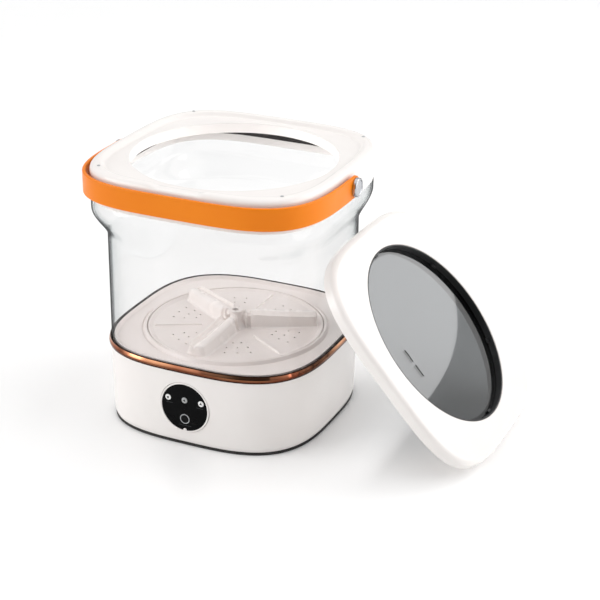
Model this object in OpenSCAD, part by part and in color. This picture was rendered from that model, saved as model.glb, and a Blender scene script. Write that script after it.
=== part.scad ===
// Portable bucket washing machine: a squared round base with the drive inside, a clear tub,
// a white collar with a strap handle, and the lift-off lid leaning against the right side.
// Millimetres. Origin: centre of the footprint on the surface it stands on. Front is -Y, up is +Z.

/* [Base] */
// Half width of the housing at its top edge
base_half = 138; // [130:1:144]
// How much the housing narrows towards its foot, on each side
base_draft = 1.8; // [0.5:0.1:4]
// Height of the housing's top edge above the ground
base_h = 97; // [94:1:110]
// Thickness of the housing's moulded wall
wall_t = 2.6; // [2.2:0.1:3.4]
// Height of the rubber ring that the machine stands on
foot_h = 4; // [3.4:0.2:6]
// Width of the rubber ring
foot_w = 11.4; // [8:0.2:11.8]
// Thickness of the bottom cover
cover_t = 3; // [2.4:0.2:4]
// Squareness of the base outline, where 2 is a circle
base_power = 3.22; // [3:0.02:3.6]
// Width of the inner ledge that carries the wash floor
ledge_w = 23.5; // [21:0.5:24]

/* [Trim ring] */
// Height of the plated ring between housing and tub
ring_h = 9.5; // [7:0.5:12]
// How far the ring stands out past the housing
ring_proud = 2.2; // [1.4:0.2:3]

/* [Tub] */
// Thickness of the clear wall
tub_t = 2.5; // [2:0.1:3.2]
// How far the tub stands in from the housing's edge
tub_inset = 0.8; // [0.8:0.1:1.6]
// Height of the straight wall above the housing
tub_straight = 143; // [120:1:150]
// Height over which the wall flares out
flare_h = 37; // [28:1:45]
// Height of the clear lip between the flare and the collar
lip_h = 13; // [8:1:16]
// Height of the tub's neck inside the collar
neck_h = 18; // [15:0.5:20]
// Half width of the tub's lip, which the collar shares
rim_half = 149; // [145:0.5:153]
// Squareness of the rim, the collar and the lid
rim_power = 3.76; // [3.5:0.02:4]

/* [Collar] */
// Height of the collar from the clear lip to its top
collar_h = 41; // [40:0.5:46]
// Radius of the round mouth
mouth_r = 124.5; // [120:0.5:126]
// Depth of the mouth's throat
throat_h = 11; // [9:0.5:12]
// Depth of the dished corners below the rim
dish_depth = 5; // [3:0.5:6]
// Width of the finger notch in the front rim
notch_w = 60; // [40:1:80]
// Depth of the finger notch
notch_depth = 3; // [2:0.2:3.8]
// Height of the gasket inside the collar
gasket_h = 17; // [14:0.5:18]

/* [Handle] */
// Width of the strap
strap_w = 27; // [22:0.5:29]
// Thickness of the strap
strap_t = 3.5; // [2.8:0.1:4.5]
// Space between the collar and the strap
strap_gap = 4; // [3.6:0.1:5]
// Drop of the pivots below the collar's top
pivot_drop = 21; // [19:0.5:23]
// Radius of the pivot pin's shank
pin_r = 4; // [3:0.2:5]
// Radius of the pin's polished head
pin_head_r = 11.5; // [9:0.5:13]

/* [Wash floor and pulsator] */
// Thickness of the wash floor at its edge
floor_t = 5.5; // [5:0.5:7]
// Radius of the round recess for the pulsator
recess_r = 110; // [106:1:112]
// Depth of the recess below the wash floor
recess_depth = 3.5; // [3:0.5:4]
// Radius of the pulsator's disc
pulsator_r = 108; // [100:1:108]
// Thickness of the pulsator's disc
pulsator_t = 3; // [2.4:0.2:4]
// Height of the pulsator's hub above its disc
hub_h = 21; // [18:1:26]
// Height of a blade's outer end above the disc
blade_h = 13; // [9:1:16]
// Distance from the axis to a blade's outer end
blade_reach = 99; // [80:1:99]
// Half width of a blade at its foot
blade_half = 12; // [9:0.5:13]
// Angle of the first blade
blade_angle = 28; // [0:1:119]

/* [Drive] */
// Radius of the drive shaft
shaft_r = 4; // [3:0.2:4.6]
// Tooth size: pitch diameter for each tooth
gear_module = 1.5; // [1.4:0.1:1.6]
// Teeth of the driven gear
gear_teeth = 48; // [44:4:52]
// Teeth of the motor pinion
pinion_teeth = 16; // [12:4:20]
// Thickness of the driven gear
gear_t = 8; // [6:0.5:9]
// Radius of the motor's can
motor_r = 19; // [16:0.5:21]
// Air between the motor's lower end and the bottom cover
motor_room = 7; // [3:0.5:12]
// Radius of the motor's shaft
motor_shaft_r = 1.6; // [1.2:0.1:2]
// Thickness of the steel bracket that carries the motor
bracket_t = 2.5; // [2:0.5:3]
// Drop of the bracket's top face below the housing's top edge
bracket_drop = 34.5; // [33:0.5:36]

/* [Control panel] */
// Radius of the glossy panel
panel_r = 30.6; // [29:0.2:33]
// Width of the white bezel round the panel
bezel_w = 2; // [1.6:0.2:3]
// Height of the panel's centre
panel_z = 51; // [48:1:54]
// Radius of the three mode buttons
mode_r = 3.7; // [3:0.1:4]
// Radius of the power button
power_r = 6.3; // [5:0.1:7]
// Sideways distance from the middle mode button to the outer two
mode_dx = 22; // [14:0.5:22]
// Height of the mode buttons above the panel's centre
mode_dz = 9.6; // [8:0.2:10]
// Drop of the power button below the panel's centre
power_dz = 15.2; // [12:0.2:16]
// How far a button travels
button_travel = 0.6; // [0.3:0.1:0.8]

/* [Lid] */
// Half width of the lid
lid_half = 152; // [151:0.5:152.4]
// Height of the lid's skirt
lid_h = 16; // [14:0.5:17]
// Thickness of the lid's moulded wall
lid_t = 2.6; // [2.2:0.1:2.6]
// Radius of the round window
window_r = 119.9; // [112:0.1:120]
// Depth of the window below the lid's top face
window_depth = 9; // [7:0.5:10]
// Thickness of the smoked window
glass_t = 3; // [2:0.5:4]
// Depth of the plug ring that drops into the mouth
plug_h = 25; // [22:0.5:26]
// Angle between the leaning lid and the ground
lid_lean = 49; // [42:1:52]
// How far behind the middle the lid stands
lid_back = 46; // [0:1:50]

/* [Hidden] */

$fn = 64;
steps = 64;            // points round a squared outline
crowd = 5.7;           // degrees by which the points are drawn towards the corners
eps = 0.01;            // overlap that lets two solids of one piece join
fit = 0.3;             // air between pieces that only lie beside each other
run_fit = 0.05;        // radial air of a shaft in its bearing
screw_fit = 0.05;      // radial air of a screw in its pilot hole
hole_fit = 0.3;        // radial air of a screw in a plain hole
seat_air = 0.2;        // air round a piece that drops into a seat
grip = 0.02;           // radial air that is left where one piece is pressed on another
beyond = 1;            // how far a cut runs past the face that it opens

white = "#ece8e5";
charcoal = "#3a3b3d";
steel = "#b9bcc0";

foot_edge = 1.3;       // how far the foot stands in from the housing's face
seal_h_up = 1.5;       // height of the seal under the tub

// Heights of the levels, from the ground up
z_cover = foot_h;
z_plate = foot_h + cover_t;
z_floor = base_h + floor_t;
z_recess = z_floor - recess_depth;
z_seal = base_h + seal_h_up;
z_flare = base_h + tub_straight;
z_lip = z_flare + flare_h;
z_collar = z_lip + lip_h;
z_neck = z_collar + neck_h;
z_top = z_collar + collar_h;
z_pivot = z_top - pivot_drop;
z_bracket = base_h - bracket_drop;

tub_half = base_half - tub_inset;
floor_half = tub_half - tub_t - fit;
foot_half = base_half - base_draft - foot_edge;

// Outline of a squared circle at one angle, as a share of its half width
function reach(power, a) = pow(pow(abs(cos(a)), power) + pow(abs(sin(a)), power), -1 / power);
function turn(i) = 360 * i / steps + crowd * sin(4 * 360 * i / steps);
function ring_at(half, power) =
    [for (i = [0:steps - 1]) half * reach(power, turn(i)) * [cos(turn(i)), sin(turn(i))]];

module squared(half, power, h, z = 0) {
    translate([0, 0, z]) linear_extrude(h) polygon(ring_at(half, power));
}

// Hollow shell swept from a closed profile of [half width, height, squareness] rows,
// listed up the outside, across the top and down the inside
module shell(profile) {
    rows = len(profile);
    points = [for (row = profile) for (p = ring_at(row[0], row[2])) [p[0], p[1], row[1]]];
    faces = [for (k = [0:rows - 1]) for (i = [0:steps - 1])
        let(a = k * steps + i, b = k * steps + (i + 1) % steps,
            d = ((k + 1) % rows) * steps + i, c = ((k + 1) % rows) * steps + (i + 1) % steps)
        each [[a, d, c], [a, c, b]]];
    polyhedron(points, faces);
}

module tube(outer, inner, h, z = 0) {
    translate([0, 0, z]) difference() {
        cylinder(r = outer, h = h);
        bore(inner, h);
    }
}

// Cut for a round hole through a piece that stands between z and z + h
module bore(r, h, z = 0) {
    translate([0, 0, z - beyond]) cylinder(r = r, h = h + 2 * beyond);
}

// Cylinder along Y from y0 to y1
module rod_y(r, x, z, y0, y1) {
    translate([x, y0, z]) rotate([-90, 0, 0]) cylinder(r = r, h = y1 - y0);
}

// Round headed screw that points up, with the underside of its head at z
screw_r = 1.5;
screw_head_r = 3;
screw_head_h = 2.2;
recess_l = 3.3;                        // length of the cross recess in a screw's head
recess_w = 0.66;

module screw_up(z, length) {
    translate([0, 0, z - screw_head_h / 3]) cylinder(r = screw_r, h = length + screw_head_h / 3);
    translate([0, 0, z - screw_head_h]) difference() {
        cylinder(r = screw_head_r, h = screw_head_h);
        cross(screw_head_h / 2);
    }
}

// Cross recess of a screw head, cut upwards from z = 0
module cross(depth) {
    for (a = [0, 90])
        rotate(a) translate([-recess_l / 2, -recess_w / 2, -beyond])
            cube([recess_l, recess_w, depth + beyond]);
}

// Foot, bottom cover and housing

column_in = 5.065;                     // from a screw column to the foot's inner corner, along the diagonal
column_xy = cos(45) * ((foot_half - foot_w) * reach(base_power, 45) - column_in);
column_r = 4.5;
column_hole = 12;
column_screw = column_hole - 2;

module at_columns() {
    for (x = [-1, 1]) for (y = [-1, 1]) translate([x * column_xy, y * column_xy, 0]) children();
}

module foot_ring() {
    color(charcoal) difference() {
        squared(foot_half, base_power, foot_h);
        squared(foot_half - foot_w, base_power, foot_h + 2 * beyond, -beyond);
    }
}

module bottom_cover() {
    color(charcoal) difference() {
        squared(foot_half - wall_t - fit, base_power, cover_t, z_cover);
        at_columns() bore(screw_r + hole_fit, cover_t, z_cover);
    }
}

module bottom_screws() {
    color(steel) at_columns() screw_up(z_cover, cover_t + column_screw);
}

ledge_t = 3;
ledge_half = base_half - ledge_w;
low_half = base_half - base_draft;     // half width of the housing just above its foot
foot_round = 4.5;                      // height of the rounded edge at the foot
face_y = -low_half;                    // front face
seat_depth = 1.4;                      // depth of the round seats for the panel and the inlet
seat_y = face_y + seat_depth;
pad_t = 5;                             // thickness of the wall behind a seat
pad_sunk = 0.8;                        // how far a pad stays behind the housing's face
panel_hole_r = panel_r + 0.5;
bezel_r = panel_r + bezel_w;
pad_rim = 4;                           // how far the panel's pad reaches past the bezel
board_half = 31;
board_t = 1.6;
board_edge = 4;                        // distance of a board screw from the board's edge
board_post = board_half - board_edge;
board_y = seat_y + 9;
board_post_r = 3;
board_screw_r = 1;
board_screw_l = 4;
inlet_z = 30;
inlet_r = 4;
inlet_face_r = 7.4;
inlet_pad_r = 11;
inlet_seat_y = -seat_y;

module at_board_posts() {
    for (x = [-1, 1]) for (z = [-1, 1])
        translate([x * board_post, 0, panel_z + z * board_post]) children();
}

module housing_shell() {
    shell([
        [foot_half, foot_h, base_power],
        [low_half - foot_edge / 4, foot_h + foot_round / 3, base_power],
        [low_half, foot_h + foot_round, base_power],
        [base_half, base_h - ledge_t, base_power],
        [base_half, base_h, base_power],
        [ledge_half, base_h, base_power],
        [ledge_half, base_h - ledge_t, base_power],
        [base_half - wall_t, base_h - ledge_t, base_power],
        [low_half - wall_t, foot_h + foot_round + wall_t / 2, base_power],
        [foot_half - wall_t, foot_h + foot_round - wall_t / 2, base_power],
        [foot_half - wall_t, foot_h, base_power]
    ]);
}

module base_housing() {
    color(white) difference() {
        union() {
            housing_shell();
            at_columns() translate([0, 0, z_plate]) cylinder(r = column_r, h = base_h - z_plate - eps);
            rod_y(bezel_r + pad_rim, 0, panel_z, face_y + pad_sunk, face_y + pad_t);
            at_board_posts() rod_y(board_post_r, 0, 0, face_y + pad_sunk, board_y);
            rod_y(inlet_pad_r, 0, inlet_z, -face_y - pad_t, -face_y - pad_sunk);
        }
        at_columns() translate([0, 0, z_plate - beyond])
            cylinder(r = screw_r + screw_fit, h = column_hole + beyond);
        rod_y(bezel_r + seat_air, 0, panel_z, -base_half - beyond, seat_y);
        rod_y(panel_hole_r + seat_air, 0, panel_z, -base_half - beyond, face_y + pad_t + beyond);
        at_board_posts()
            rod_y(board_screw_r + screw_fit, 0, 0, board_y - board_screw_l - beyond, board_y + beyond);
        rod_y(inlet_face_r + seat_air, 0, inlet_z, inlet_seat_y, base_half + beyond);
        rod_y(inlet_r + seat_air, 0, inlet_z, -face_y - pad_t - beyond, base_half + beyond);
        at_floor_screws() bore(screw_r + hole_fit, ledge_t, base_h - ledge_t);
    }
}

ring_round = 1.4;                      // how far the ring's edges are rounded in

module trim_ring() {
    inner = tub_half + fit;
    outer = base_half + ring_proud;
    color("#b87344") shell([
        [outer - ring_round, base_h, base_power],
        [outer - ring_round / 4, base_h + ring_h * 0.16, base_power],
        [outer, base_h + ring_h * 0.45, base_power],
        [outer - ring_round / 3, base_h + ring_h * 0.75, base_power],
        [outer - ring_round, base_h + ring_h, base_power],
        [inner, base_h + ring_h, base_power],
        [inner, base_h, base_power]
    ]);
}

// Wash floor with its recess, bearing boss and the posts of the motor bracket

lip_w = 3.4;                           // width of the lip round the recess
lip_h_up = 3.5;                        // height of that lip above the wash floor
lip_r = recess_r + lip_w;
lip_top = z_floor + lip_h_up;
recess_t = 3;                          // thickness of the recess's floor
under_recess = z_recess - recess_t;
floor_screw_in = 14;                   // distance of the floor screws from the housing's face
floor_screw_side = 42;
floor_screw_top = 1;                   // plastic that is left above a floor screw's hole
boss_r = 14;
boss_h = 14;
bearing_r = 8;
bearing_h = 9;
seal_r = 9;
seal_h = 6.4;
shaft_air = 0.8;                       // air round the shaft between its bearing and its seal
z_boss = under_recess - boss_h;
addendum = 0.8;                        // height of a tooth above its pitch line, for each module
dedendum = 1.15;                       // depth of a tooth below it
gear_gap = gear_module * (gear_teeth + pinion_teeth) / 2;
gear_tip = gear_module * (gear_teeth / 2 + addendum);
post_r = 4;
post_y = 30;
post_past_gear = 8;                    // distance of the left posts from the gear's tips
post_past_motor = 17;                  // distance of the right posts from the motor's can
post_x = [-(gear_tip + post_past_gear), gear_gap + motor_r + post_past_motor];
post_hole = 10;
post_screw = post_hole - 2;

module at_floor_screws() {
    d = base_half - floor_screw_in;
    for (a = [0:90:270]) for (s = [-1, 1]) rotate(a) translate([d, s * floor_screw_side, 0]) children();
}

module at_posts() {
    for (x = post_x) for (y = [-1, 1]) translate([x, y * post_y, 0]) children();
}

module wash_floor() {
    color(white) difference() {
        union() {
            squared(floor_half, base_power, floor_t, base_h);
            translate([0, 0, under_recess]) cylinder(r = lip_r, h = lip_top - under_recess);
            translate([0, 0, z_boss]) cylinder(r = boss_r, h = under_recess - z_boss + eps);
            at_posts() translate([0, 0, z_bracket])
                cylinder(r = post_r, h = under_recess - z_bracket + eps);
        }
        translate([0, 0, z_recess]) cylinder(r = recess_r, h = lip_top - z_recess + beyond);
        translate([0, 0, z_recess - seal_h]) cylinder(r = seal_r, h = seal_h + beyond);
        bore(shaft_r + shaft_air, z_recess - z_boss, z_boss);
        translate([0, 0, z_boss - beyond]) cylinder(r = bearing_r, h = bearing_h + beyond);
        at_posts() translate([0, 0, z_bracket - beyond])
            cylinder(r = screw_r + screw_fit, h = post_hole + beyond);
        at_floor_screws() translate([0, 0, base_h - beyond])
            cylinder(r = screw_r + screw_fit, h = floor_t - floor_screw_top + beyond);
    }
}

module floor_screws() {
    color(steel) at_floor_screws() screw_up(base_h - ledge_t, ledge_t + floor_t - 2 * floor_screw_top);
}

module tub_seal() {
    color("#d8d5d0") difference() {
        squared(tub_half, base_power, z_seal - base_h, base_h);
        squared(floor_half + grip, base_power, z_seal - base_h + 2 * beyond, base_h - beyond);
    }
}

// Clear tub, from the seal up to its neck inside the collar

flare_steps = 7;
lip_step = 3.2;                        // how far the neck stands in from the lip
neck_half = rim_half - lip_step;
function ease(t) = t * t * (3 - 2 * t);
function tub_out(z) = tub_half + (rim_half - tub_half) * ease(min(1, max(0, (z - z_flare) / flare_h)));
function tub_power(z) =
    base_power + (rim_power - base_power) * ease(min(1, max(0, (z - z_flare) / flare_h)));
flare_z = [for (i = [0:flare_steps]) z_flare + flare_h * i / flare_steps];

module tub() {
    color("#dfe6ea", 0.35) shell(concat(
        [[tub_half, z_seal, base_power]],
        [for (z = flare_z) [tub_out(z), z, tub_power(z)]],
        [[rim_half, z_collar, rim_power],
         [neck_half, z_collar, rim_power],
         [neck_half, z_neck, rim_power],
         [neck_half - tub_t, z_neck, rim_power],
         [neck_half - tub_t, z_collar - lip_step, rim_power]],
        [for (i = [flare_steps:-1:0]) [tub_out(flare_z[i]) - tub_t, flare_z[i], tub_power(flare_z[i])]],
        [[tub_half - tub_t, z_seal, base_power]]
    ));
}

// Collar with its round mouth, dished corners and finger notch

wall_in = neck_half - tub_t;           // inner half width of the collar's thick band
gasket_t = 4.4;
gasket_grip = 8;                       // how far the gasket reaches down inside the neck
gasket_in = wall_in - seat_air - gasket_t;
z_gasket = z_neck - gasket_grip;
z_rib = z_gasket + gasket_h;
dish_z = z_top - dish_depth;
deck_t = 3.4;                          // thickness of the collar's dished deck
throat_t = 2.5;
crown = 8;                             // distance of the rim's highest line from its outside
rim_round = 9;                         // height of the rim's rounded outer edge
rim_foot = 15.5;                       // distance of the rim's inner foot from its outside
stock = 1;                             // plastic inside a round edge, which a bore then takes away
notch_slope = 6;

module collar() {
    color(white) difference() {
        shell([
            [rim_half, z_collar, rim_power],
            [rim_half, z_top - rim_round, rim_power],
            [rim_half - crown * 0.075, z_top - rim_round * 0.6, rim_power],
            [rim_half - crown * 0.275, z_top - rim_round * 0.27, rim_power],
            [rim_half - crown * 0.625, z_top - rim_round * 0.055, rim_power],
            [rim_half - crown, z_top, rim_power],
            [rim_half - crown - (rim_foot - crown) * 0.47, z_top - dish_depth * 0.16, rim_power],
            [rim_half - crown - (rim_foot - crown) * 0.8, z_top - dish_depth * 0.6, rim_power],
            [rim_half - rim_foot, dish_z, rim_power],
            [mouth_r + stock * 1.6, dish_z, 2],
            [mouth_r + stock * 0.5, dish_z - stock * 0.4, 2],
            [mouth_r - stock, dish_z - stock * 1.8, 2],
            [mouth_r - stock, dish_z - throat_h, 2],
            [mouth_r + throat_t, dish_z - throat_h, 2],
            [mouth_r + throat_t, dish_z - deck_t, 2],
            [gasket_in, dish_z - deck_t, rim_power],
            [gasket_in, z_rib, rim_power],
            [wall_in, z_rib, rim_power],
            [wall_in, z_neck + seat_air, rim_power],
            [neck_half + seat_air, z_neck + seat_air, rim_power],
            [neck_half + seat_air, z_collar, rim_power]
        ]);
        bore(mouth_r, collar_h, z_collar);
        translate([0, -rim_half - beyond, z_top]) rotate([-90, 0, 0])
            linear_extrude(rim_half - mouth_r + beyond) polygon([
                [notch_slope - notch_w / 2, notch_depth], [notch_w / 2 - notch_slope, notch_depth],
                [notch_w / 2, -beyond], [-notch_w / 2, -beyond]]);
        for (s = [-1, 1]) translate([s * (rim_half - pin_depth), 0, z_pivot]) rotate([0, s * 90, 0])
            cylinder(r = pin_r + grip, h = pin_depth + beyond);
        at_bumpers() translate([0, 0, z_top - bumper_deep])
            cylinder(r = bumper_stem + grip, h = bumper_deep + beyond);
    }
}

module collar_gasket() {
    color("#2b2d30") difference() {
        squared(wall_in - seat_air, rim_power, gasket_h, z_gasket);
        squared(gasket_in, rim_power, gasket_h + 2 * beyond, z_gasket - beyond);
    }
}

bumper_xy = (rim_half - crown) * reach(rim_power, 45) * cos(45);
bumper_deep = 6;
bumper_stem = 1.3;
bumper_r = 2;
bumper_h = 0.6;

module at_bumpers() {
    for (x = [-1, 1]) for (y = [-1, 1]) translate([x * bumper_xy, y * bumper_xy, 0]) children();
}

module lid_bumpers() {
    color("#8d8f92") at_bumpers() {
        translate([0, 0, z_top - bumper_deep]) cylinder(r = bumper_stem, h = bumper_deep + bumper_h / 2);
        translate([0, 0, z_top]) cylinder(r = bumper_r, h = bumper_h);
    }
}

// Strap handle with its pivot pins

pin_depth = lip_step - 0.6;            // how deep a pin sits in the collar's wall
washer_r = 7.5;
strap_in = rim_half + strap_gap;
strap_out = strap_in + strap_t;
head_x = strap_out + fit;
head_t = 5;

module at_pivots() {
    for (turned = [0, 180]) rotate(turned) translate([0, 0, z_pivot]) rotate([0, 90, 0]) children();
}

module pivot_pins() {
    color("#c9ccd1") at_pivots() rotate_extrude() polygon([
        [0, rim_half - pin_depth], [pin_r, rim_half - pin_depth], [pin_r, head_x],
        [pin_head_r, head_x], [pin_head_r, head_x + head_t * 0.55],
        [pin_head_r - head_t * 0.2, head_x + head_t * 0.8],
        [pin_head_r - head_t * 0.7, head_x + head_t], [0, head_x + head_t]
    ]);
}

module pivot_washers() {
    color("#f2f2f0") at_pivots() tube(washer_r, pin_r + grip, strap_gap - fit, rim_half);
}

module handle_strap() {
    color("#ef7d1f") difference() {
        union() {
            difference() {
                squared(strap_out, rim_power, strap_w, z_pivot - strap_w / 2);
                squared(strap_in, rim_power, strap_w + 2 * beyond, z_pivot - strap_w / 2 - beyond);
                translate([-2 * strap_out, 0, z_pivot - strap_w])
                    cube([4 * strap_out, 2 * strap_out, strap_w * 2]);
            }
            at_pivots() translate([0, 0, strap_in]) cylinder(r = strap_w / 2, h = strap_t);
        }
        at_pivots() bore(pin_r + run_fit, strap_t, strap_in);
    }
}

// Control panel on the front of the housing

bezel_deep = 3;                        // thickness of the bezel in front of its seat
face_sunk = 0.8;                       // how far the glossy face lies behind the bezel's rim
face_lip = 1.8;                        // width of the ledge that carries the glossy face
face_ledge = 1.6;                      // thickness of that ledge
bezel_front = seat_y - bezel_deep;
glass_front = bezel_front + face_sunk;
glass_back = seat_y + seat_air;
nick_w = 3;                            // small notch at the foot of the bezel
button_proud = 0.5;
power_proud = 0.3;
flange_t = 1;
flange_gap = fit;
flange_lip = 0.8;
stem_r = 1.5;
stem_l = 1;
flange_y = glass_back + flange_gap;
stem_end = flange_y + flange_t + stem_l;
switch_top = stem_end + button_travel + fit;

mode_x = [-mode_dx, 0, mode_dx];
mode_z = panel_z + mode_dz;
power_z = panel_z - power_dz;

module panel_bezel() {
    color("#f6f5f3") difference() {
        union() {
            rod_y(bezel_r, 0, panel_z, bezel_front, seat_y);
            rod_y(panel_hole_r, 0, panel_z, bezel_front + face_sunk, glass_back + face_ledge);
        }
        rod_y(panel_r + grip, 0, panel_z, bezel_front - beyond, glass_back);
        rod_y(panel_r - face_lip, 0, panel_z, bezel_front - beyond, glass_back + face_ledge + beyond);
        translate([-nick_w / 2, bezel_front - beyond, panel_z - bezel_r - beyond])
            cube([nick_w, face_sunk + beyond - eps, bezel_w + 2 * beyond]);
    }
}

module panel_face() {
    color("#0b0c0d") difference() {
        rod_y(panel_r, 0, panel_z, glass_front, glass_back);
        for (x = mode_x) rod_y(mode_r + fit, x, mode_z, glass_front - beyond, glass_back + beyond);
        rod_y(power_r + fit, 0, power_z, glass_front - beyond, glass_back + beyond);
    }
}

module button(x, z, r, proud) {
    rod_y(r, x, z, glass_front - proud, flange_y + flange_t / 2);
    rod_y(r + flange_lip, x, z, flange_y, flange_y + flange_t);
    rod_y(stem_r, x, z, flange_y + flange_t / 2, stem_end);
}

module power_button() { color("#1a1b1d") button(0, power_z, power_r, power_proud); }
module mode_button_left() { color("#f4f4f2") button(mode_x[0], mode_z, mode_r, button_proud); }
module mode_button_middle() { color("#f4f4f2") button(mode_x[1], mode_z, mode_r, button_proud); }
module mode_button_right() { color("#f4f4f2") button(mode_x[2], mode_z, mode_r, button_proud); }

switch_xz = concat([for (x = mode_x) [x, mode_z]], [[0, power_z]]);
switch_half = 3;
plunger_r = 1.7;
plunger_h = 1.2;
board_head_r = 2.2;
board_head_h = 1.6;

module control_board() {
    color("#1f6b45") difference() {
        translate([-board_half, board_y, panel_z - board_half])
            cube([2 * board_half, board_t, 2 * board_half]);
        at_board_posts()
            rod_y(board_screw_r + hole_fit, 0, 0, board_y - beyond, board_y + board_t + beyond);
    }
}

module board_switches() {
    color("#2a2a2a") for (p = switch_xz) {
        translate([p[0] - switch_half, switch_top + plunger_h, p[1] - switch_half])
            cube([2 * switch_half, board_y - switch_top - plunger_h, 2 * switch_half]);
        rod_y(plunger_r, p[0], p[1], switch_top, switch_top + plunger_h + eps);
    }
}

module board_screws() {
    head_y = board_y + board_t;
    color(steel) at_board_posts() {
        rod_y(board_screw_r, 0, 0, board_y - board_screw_l, head_y + board_head_h / 2);
        rod_y(board_head_r, 0, 0, head_y, head_y + board_head_h);
    }
}

// Low voltage inlet at the back: a panel socket with its nut

socket_r = 2.8;
socket_depth = 9;
socket_pin_r = 1;
inlet_len = 13;
inlet_face_t = 1.6;
nut_r = 6.9;
nut_h = 2.2;

module power_inlet() {
    inlet_face_y = inlet_seat_y + inlet_face_t;
    color("#1c1c1d") difference() {
        union() {
            rod_y(inlet_face_r, 0, inlet_z, inlet_seat_y, inlet_face_y);
            rod_y(inlet_r, 0, inlet_z, inlet_seat_y - inlet_len, inlet_seat_y + eps);
        }
        rod_y(socket_r, 0, inlet_z, inlet_face_y - socket_depth, inlet_face_y + beyond);
    }
    color(steel) rod_y(socket_pin_r, 0, inlet_z, inlet_face_y - socket_depth - beyond, inlet_face_y - 1);
}

module inlet_nut() {
    color(steel) translate([0, -face_y - pad_t, inlet_z]) rotate([90, 0, 0]) difference() {
        cylinder(r = nut_r, h = nut_h, $fn = 6);
        bore(inlet_r + grip, nut_h);
    }
}

// Shaft, bearings and seal

shaft_below = 7;                       // how far the shaft reaches below the bracket's top
hub_r = 13;
disc_gap = 1.2;                        // air between the pulsator and the recess's floor
hub_cap = 8;                           // depth of the shaft's end below the hub's top
z_shaft_low = z_bracket - shaft_below;
z_disc = z_recess + disc_gap;
z_disc_top = z_disc + pulsator_t;
z_hub = z_disc_top + hub_h;
z_shaft_top = z_hub - hub_cap;
clip_t = 1;
clip_w = 2.4;                          // how far the clip stands out from the shaft
groove = 0.8;                          // depth of the clip's groove
clip_gap = 3;                          // width of the clip's open side
lower_r = 6.5;
lower_h = 6;
lower_flange_r = 9;
lower_flange_t = 1.6;
z_lower = z_bracket - bracket_t - 1;
z_gear = z_lower + lower_h + fit;

module shaft_seal() { color("#2b2d30") tube(seal_r, shaft_r + run_fit, seal_h, z_recess - seal_h); }

module upper_bearing() { color("#a9814a") tube(bearing_r, shaft_r + run_fit, bearing_h, z_boss); }

module lower_bearing() {
    color("#a9814a") difference() {
        union() {
            translate([0, 0, z_lower]) cylinder(r = lower_r, h = lower_h);
            translate([0, 0, z_bracket]) cylinder(r = lower_flange_r, h = lower_flange_t);
        }
        bore(shaft_r + run_fit, lower_h, z_lower);
    }
}

module drive_shaft() {
    color(steel) difference() {
        translate([0, 0, z_shaft_low]) cylinder(r = shaft_r, h = z_shaft_top - z_shaft_low);
        tube(shaft_r + beyond, shaft_r - groove, clip_t, z_lower - fit - clip_t);
        translate([0, 0, z_shaft_top - hub_screw_l - beyond])
            cylinder(r = screw_r + screw_fit, h = hub_screw_l + 2 * beyond);
    }
}

module shaft_clip() {
    color(steel) difference() {
        tube(shaft_r + clip_w, shaft_r - groove + grip, clip_t, z_lower - fit - clip_t);
        translate([0, -clip_gap / 2, z_lower - fit - clip_t - beyond])
            cube([shaft_r + clip_w + beyond, clip_gap, clip_t + 2 * beyond]);
    }
}

// Involute gear outline: a flank's half angle at each radius comes from the base circle
function inv(a) = tan(a) - a * PI / 180;
function flank(teeth, r) =
    let(pitch = gear_module * teeth / 2, base = pitch * cos(pressure))
    90 / teeth * tooth_fill + (inv(pressure) - inv(acos(min(1, base / r)))) * 180 / PI;
pressure = 20;                         // pressure angle in degrees
tooth_fill = 0.93;                     // share of the pitch that a tooth takes, which leaves backlash
gear_hub_r = 9;
gear_hub_h = 5;
gear_hole_at = 0.55;                   // place and size of the lightening holes, for each tip radius
gear_hole_r = 0.16;

function tooth_radii(teeth) =
    let(pitch = gear_module * teeth / 2)
    [pitch - gear_module * dedendum, pitch - gear_module * 0.45, pitch, pitch + gear_module * addendum];

function gear_outline(teeth, start) = [for (k = [0:teeth - 1]) for (s = [-1, 1])
    let(radii = tooth_radii(teeth))
    for (j = [0:3])
        let(r = radii[s < 0 ? j : 3 - j], a = start + 360 * k / teeth + s * flank(teeth, r))
        r * [cos(a), sin(a)]];

module output_gear() {
    color("#e9e6da") difference() {
        union() {
            translate([0, 0, z_gear]) linear_extrude(gear_t) polygon(gear_outline(gear_teeth, 0));
            translate([0, 0, z_gear]) cylinder(r = gear_hub_r, h = gear_t + gear_hub_h);
        }
        bore(shaft_r + grip, gear_t + gear_hub_h, z_gear);
        for (a = [30:60:330]) rotate(a) translate([gear_tip * gear_hole_at, 0, 0])
            bore(gear_tip * gear_hole_r, gear_t, z_gear);
    }
}

// Motor on its bracket, beside the drive shaft

motor_top = z_bracket - bracket_t;
case_t = 1.2;
case_end_t = 2.5;                      // thickness of the can's upper end
pilot_r = 5;                           // round boss that centres the motor in its bracket
cap_h = 4;
cap_boss_r = 5.5;
cap_boss_h = 2;
cap_skin = 1.2;                        // plastic that is left under the shaft's lower end
z_motor = z_plate + motor_room + cap_boss_h;
can_h = motor_top - z_motor - cap_h;
motor_screw_at = 9;                    // distance of the motor's screws from its shaft
motor_head_r = 2.6;
magnet_t = 3.6;
magnet_gap = 10;                       // width of the gaps between the two magnets
rotor_gap = 1.4;                       // air between the armature and the magnets
end_air = 6;                           // air between the armature and the can's ends
bracket_edge = 7;                      // distance of the posts from the bracket's edge

module at_motor() { translate([gear_gap, 0, 0]) children(); }

module at_motor_screws() {
    at_motor() for (s = [-1, 1]) translate([0, s * motor_screw_at, 0]) children();
}

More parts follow.
